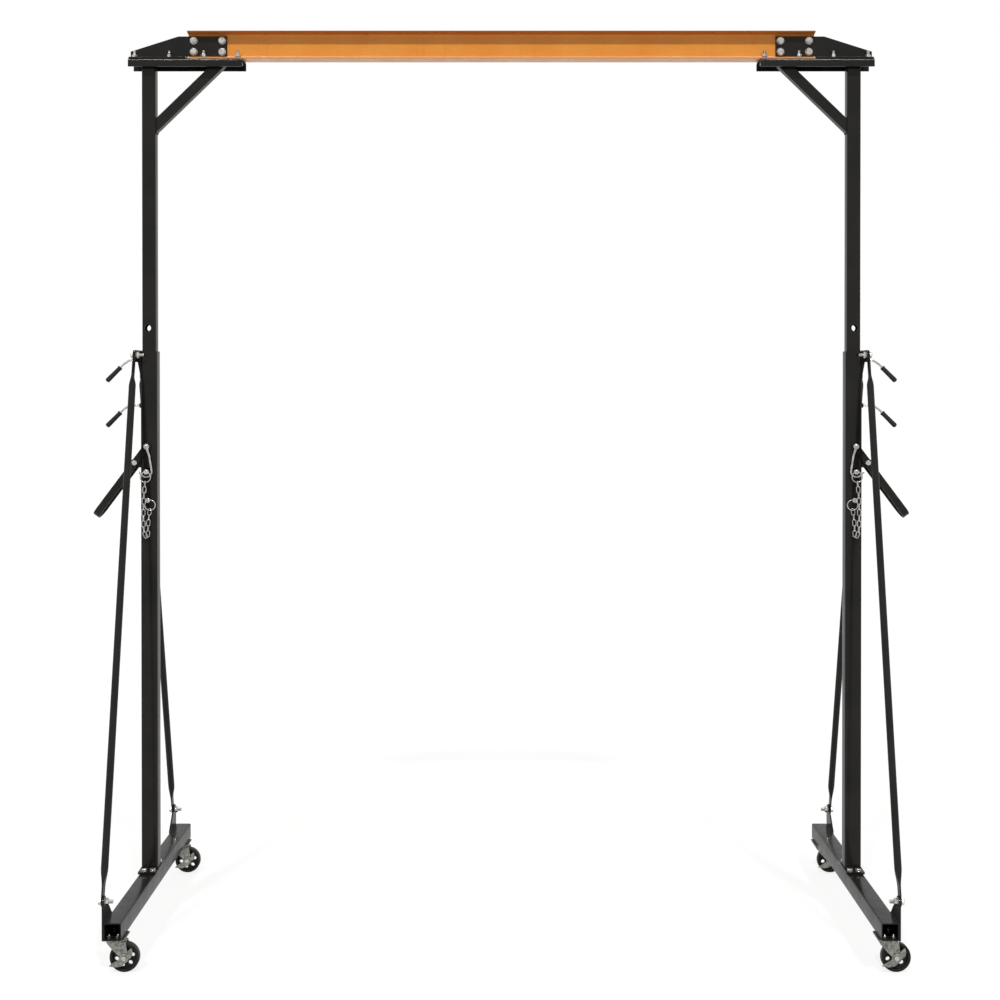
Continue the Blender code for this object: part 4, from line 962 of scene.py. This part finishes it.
def build_chains():
    """Two strands for each mast, both from the chain's lowest point up to a pin's ring."""
    lift, lock = [ring_centre(kind) - Vector((0, 0, RING_RADIUS - 0.004))
                  for kind in ("lift", "lock")]
    bottom = Vector((1.3060, -0.0470, 1.4145))
    long_side = [lift, (1.3120, -0.0535, 1.585), (1.3145, -0.0538, 1.530),
                 (1.3150, -0.0535, 1.470), (1.3132, -0.0515, 1.434), bottom]
    short_side = [bottom + Vector((-0.004, 0.006, 0.003)), (1.3010, -0.0405, 1.440),
                  (1.3005, -0.0372, 1.475), lock]
    strands = (("long", long_side, math.pi / 2, "lift", lift),
               ("short", short_side, 0.0, "lock", lock))
    for label, side in SIDES.items():
        for name, points, turn, pin, ring in strands:
            made = chain(points, turn)
            if side < 0:
                mirrored(made)
            put_in_scene(f"{label}_chain_{name}", made, "zinc")
            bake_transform(made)
            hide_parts(f"{label}_pin_chain")


# ---- casters

def caster_top():
    """The plate with its bolts, the race's cover under it, and the kingpin's head."""
    under, low = PLATE_TOP - 0.004, PLATE_TOP - 0.011
    plate = prism(rounded(0.075, 0.096, 0.009), "Z", under, PLATE_TOP)
    race = turned([(0, under + 0.001), (0.0275, under + 0.001), (0.0280, under - 0.001),
                   (0.0280, low + 0.0030), (0.0268, low + 0.0008), (0.0250, low),
                   (0.0180, low + 0.0004), (0.006, low + 0.0004), (0.006, CROWN_LOW - GAP),
                   (0.0085, CROWN_LOW - 0.0004), (0.0090, CROWN_LOW - 0.0020),
                   (0.0070, CROWN_LOW - 0.0037), (0, CROWN_LOW - 0.0038)])
    bolts = [bolt((x, y, under), (0, 0, -1), 0.0080, 0.0083, past=0.006, turn=x * 40 + y * 9)
             for x in (-0.0148, 0.0148) for y in (-0.036, 0.036)]
    return merged(plate, race, *bolts)


def caster_fork():
    """A pressed fork: a channel with round shoulders, cut to its side outline, on a crown."""
    wall, bend, low = 0.003, 0.006, 0.030
    outer, inner = FORK_OUT, FORK_IN
    top = CROWN_TOP - 0.0004
    profile = ([(outer, low)] + arc((outer - bend, top - bend), bend, 0, 90, 6)
               + arc((bend - outer, top - bend), bend, 90, 180, 6)
               + [(-outer, low), (-inner, low)]
               + arc((bend - outer, top - bend), bend - wall, 180, 90, 6)
               + arc((outer - bend, top - bend), bend - wall, 90, 0, 6) + [(inner, low)])
    legs = prism(profile, "X", -0.06, 0.08)
    side = ([(TRAIL + 0.006, CROWN_TOP + 0.01), (-0.027, CROWN_TOP + 0.01), (-0.0285, CROWN_LOW),
             (-0.0265, CROWN_LOW - 0.006), (-0.017, 0.088), (-0.004, 0.073), (0.0085, 0.060)]
            + arc((TRAIL, AXLE_Z), 0.0155, 165, 355, 14)
            + [(TRAIL + 0.0150, 0.062), (TRAIL + 0.0115, 0.075), (TRAIL + 0.0090, 0.090)])
    legs = cut(legs, prism(side, "Y", -0.05, 0.05), operation="INTERSECT")
    legs = cut(legs, rod((TRAIL, -0.1, AXLE_Z), (TRAIL, 0.1, AXLE_Z), 0.0055),
               rod((0, 0, 0.09), (0, 0, 0.12), 0.0066))
    crown = turned([(0.0066, CROWN_TOP), (0.0200, CROWN_TOP), (0.0230, CROWN_TOP),
                    (0.0296, CROWN_TOP - 0.0006), (0.0300, CROWN_TOP - 0.0020),
                    (0.0285, CROWN_LOW - 0.0012), (0.0240, CROWN_LOW - 0.0020),
                    (0.0066, CROWN_LOW)], closed=True)
    rib = [(-0.014, 0.098), (-0.006, 0.098), (TRAIL - 0.008, 0.066), (TRAIL - 0.013, 0.064)]
    ribs = [prism(rib, "Y", way * (outer - 0.0005), way * (outer + 0.0001)) for way in (-1, 1)]
    return merged(legs, crown, *ribs)


def caster_wheel():
    half, hub, ring = 0.015, 0.0165, 0.0275
    tread = [(0.0440, half), (0.0474, half - 0.0004), (0.0492, half - 0.0022),
             (0.0500, half - 0.0060), (0.0500, 0.0)]
    upper = [(0.0053, hub), (0.0135, hub), (0.0148, hub - 0.0012), (0.0158, 0.0070),
             (0.0180, 0.0052), (0.0360, 0.0050), (0.0378, 0.0065), (0.0390, half - 0.0012),
             (0.0402, half), *tread]
    profile = upper + [(r, -z) for r, z in reversed(upper[:-1])]
    wheel = turned(profile, steps=72, closed=True)
    holes = []
    for k in range(6):
        a = math.radians(15 + 60 * k)
        x, y = ring * math.cos(a), ring * math.sin(a)
        holes.append(rod((x, y, -0.02), (x, y, 0.02), 0.0075, sides=28))
    upright = Matrix.Rotation(math.pi / 2, 4, "X")
    return moved(cut(wheel, *holes), Matrix.Translation((TRAIL, 0, AXLE_Z)) @ upright)


def caster_axle():
    head, nut = -PEDAL_OUT - GAP, FORK_OUT + GAP
    front = facing((TRAIL, head, AXLE_Z), (0, -1, 0)) @ Matrix.Rotation(0.4, 4, "Z")
    back = facing((TRAIL, nut, AXLE_Z), (0, 1, 0))
    return merged(hexagon(0.0088, 0.0, 0.0052, front),
                  rod((TRAIL, head - 0.0001, AXLE_Z), (TRAIL, nut + 0.0001, AXLE_Z), 0.0048),
                  hexagon(0.0090, 0.0, 0.0060, back, nut=True),
                  thread(0.0048, 0.0, 0.0080, back))


def caster_pedal():
    hub = 0.0165
    outline = (arc((0, 0), hub, 75, 190, 12)
               + [(-0.0260, -0.0095), (-0.0400, -0.0180), (-0.0500, -0.0262), (-0.0405, -0.0285),
                  (-0.0290, -0.0300), (-0.0170, -0.0290), (-0.0070, -0.0265), (0.0010, -0.0205)]
               + arc((0, 0), hub, 285, 350, 8)
               + [(0.0225, 0.0010), (0.0280, 0.0080), (0.0305, 0.0180), (0.0295, 0.0280),
                  (0.0268, 0.0345), (0.0225, 0.0330), (0.0165, 0.0260), (0.0085, 0.0180)])
    outline = [(TRAIL + x, AXLE_Z + z) for x, z in outline]
    pedal = prism(outline, "Y", -PEDAL_OUT, -FORK_OUT - GAP)
    pedal = cut(pedal, rod((TRAIL, -0.1, AXLE_Z), (TRAIL, 0, AXLE_Z), 0.0055))
    cup = turned([(0.0052, 0.0), (0.0130, 0.0), (0.0128, 0.0010), (0.0115, 0.0018),
                  (0.0090, 0.0018), (0.0052, 0.0006)],
                 facing((TRAIL, -PEDAL_OUT, AXLE_Z), (0, -1, 0)), closed=True)
    return merged(pedal, cup)


def build_casters():
    """One caster's five pieces, copied to the four corners."""
    patterns = (
        ("top", "plate", caster_top(), "caster_zinc", "{1}_base", 0.0005),
        ("fork_body", "fork", caster_fork(), "caster_zinc", "caster_{0}_{1}_swivel_body", 0.0005),
        ("axle_bolt", "axle", caster_axle(), "zinc", "caster_{0}_{1}_swivel_body", 0.0003),
        ("tyre", "wheel", caster_wheel(), "wheel_steel", "caster_{0}_{1}_wheel_body", 0.0003),
        ("brake", "pedal", caster_pedal(), "caster_zinc", "caster_{0}_{1}_pedal_body", 0.0005),
    )
    for end, way in ENDS.items():
        for label, side in SIDES.items():
            for kind, node, pattern, finish, body, edge in patterns:
                copy = copied(pattern)
                copy.data.transform(Matrix.Translation((side * MAST_X, way * CASTER_Y, 0)))
                piece(f"wheelset_{end}_{label}_{kind}", copy, finish, body.format(end, label),
                      [f"caster_{end}_{label}_{node}"], edge)
    for _, _, pattern, *_ in patterns:
        bpy.data.objects.remove(pattern)


# ---- floor, light and camera

def seen_directly(nodes):
    """1 for what the camera sees, by itself or in metal or glass."""
    path = nodes.add("ShaderNodeLightPath")
    seen = nodes.maths("ADD", path.outputs["Is Camera Ray"], path.outputs["Is Glossy Ray"])
    seen = nodes.maths("ADD", seen, path.outputs["Is Transmission Ray"])
    return nodes.maths("MINIMUM", seen, 1.0)


def build_floor():
    """A pale floor that keeps shadows, but reads nearly white to the camera."""
    bpy.ops.mesh.primitive_plane_add(size=200, location=(0, 0, -0.0005))
    floor = bpy.context.object
    floor.name = "floor"
    made, nodes, shader, _ = start_material("floor_white")
    seen = seen_directly(nodes)
    colour = nodes.mix(seen, rgb(0.50, 0.50, 0.50), rgb(0.92, 0.92, 0.92))
    nodes.fill(shader, Base_Color=colour, Roughness=0.9, Specular_IOR_Level=0.0)
    glow = nodes.add("ShaderNodeEmission", Color=rgb(1, 1, 1), Strength=1.0)
    pick = nodes.pick(nodes.maths("MULTIPLY", seen, 0.80), shader, glow)
    nodes.set(made.node_tree.nodes["Material Output"], "Surface", pick)
    floor.data.materials.append(made)


def build_world():
    """White behind the crane, and dimmer towards the camera's side and below."""
    world = bpy.data.worlds.new("studio")
    bpy.context.scene.world = world
    world.use_nodes = True
    world.node_tree.nodes.clear()
    nodes = Nodes(world.node_tree)
    direction = nodes.add("ShaderNodeTexCoord").outputs["Generated"]
    _, y, z = nodes.add("ShaderNodeSeparateXYZ", Vector=direction).outputs
    height = nodes.ramp(z, -0.10, 0.35, 0.50, 1.0)
    behind = nodes.ramp(y, -0.45, 0.55, 0.40, 1.0)
    level = nodes.maths("MULTIPLY", height, behind)
    light = nodes.add("ShaderNodeBackground", Color=rgb(1, 0.99, 0.975), Strength=level)
    white = nodes.add("ShaderNodeBackground", Color=rgb(1, 1, 1), Strength=1.0)
    nodes.add("ShaderNodeOutputWorld", Surface=nodes.pick(seen_directly(nodes), light, white))


def build_lights():
    """Two equal keys, high in front, a little to each side."""
    for name, side in SIDES.items():
        data = bpy.data.lights.new(f"key_{name}", "SUN")
        data.energy = 1.3
        data.angle = math.radians(4)
        data.color = (1.0, 0.985, 0.96)
        sun = bpy.data.objects.new(f"key_{name}", data)
        sun.rotation_euler = (math.radians(40), 0, side * math.radians(17))
        bpy.context.scene.collection.objects.link(sun)


def build_camera():
    """Where the photo was taken from, about 6 m in front and 2 m up."""
    data = bpy.data.cameras.new("camera")
    data.sensor_width = 36
    data.lens = 58.3
    data.shift_x = -0.0013
    data.shift_y = -0.1072
    data.clip_start, data.clip_end = 0.1, 100
    camera = bpy.data.objects.new("camera", data)
    camera.location = (0, -6.0, 1.999)
    camera.rotation_euler = (math.radians(89.5), 0, 0)
    bpy.context.scene.collection.objects.link(camera)
    bpy.context.scene.camera = camera
    bpy.context.scene.view_settings.view_transform = "Standard"


build_beam()
build_channels()
build_gussets()
build_head_bolts()
build_inner_mast()
build_knees()
build_outer_mast()
build_mast_brackets()
build_base_bolts()
build_mast_welds()
build_base_beam()
build_braces()
build_clamps()
build_lever()
build_hooks()
build_pins()
build_chains()
build_casters()
bpy.data.collections.remove(SCRATCH)
build_floor()
build_world()
build_lights()
build_camera()
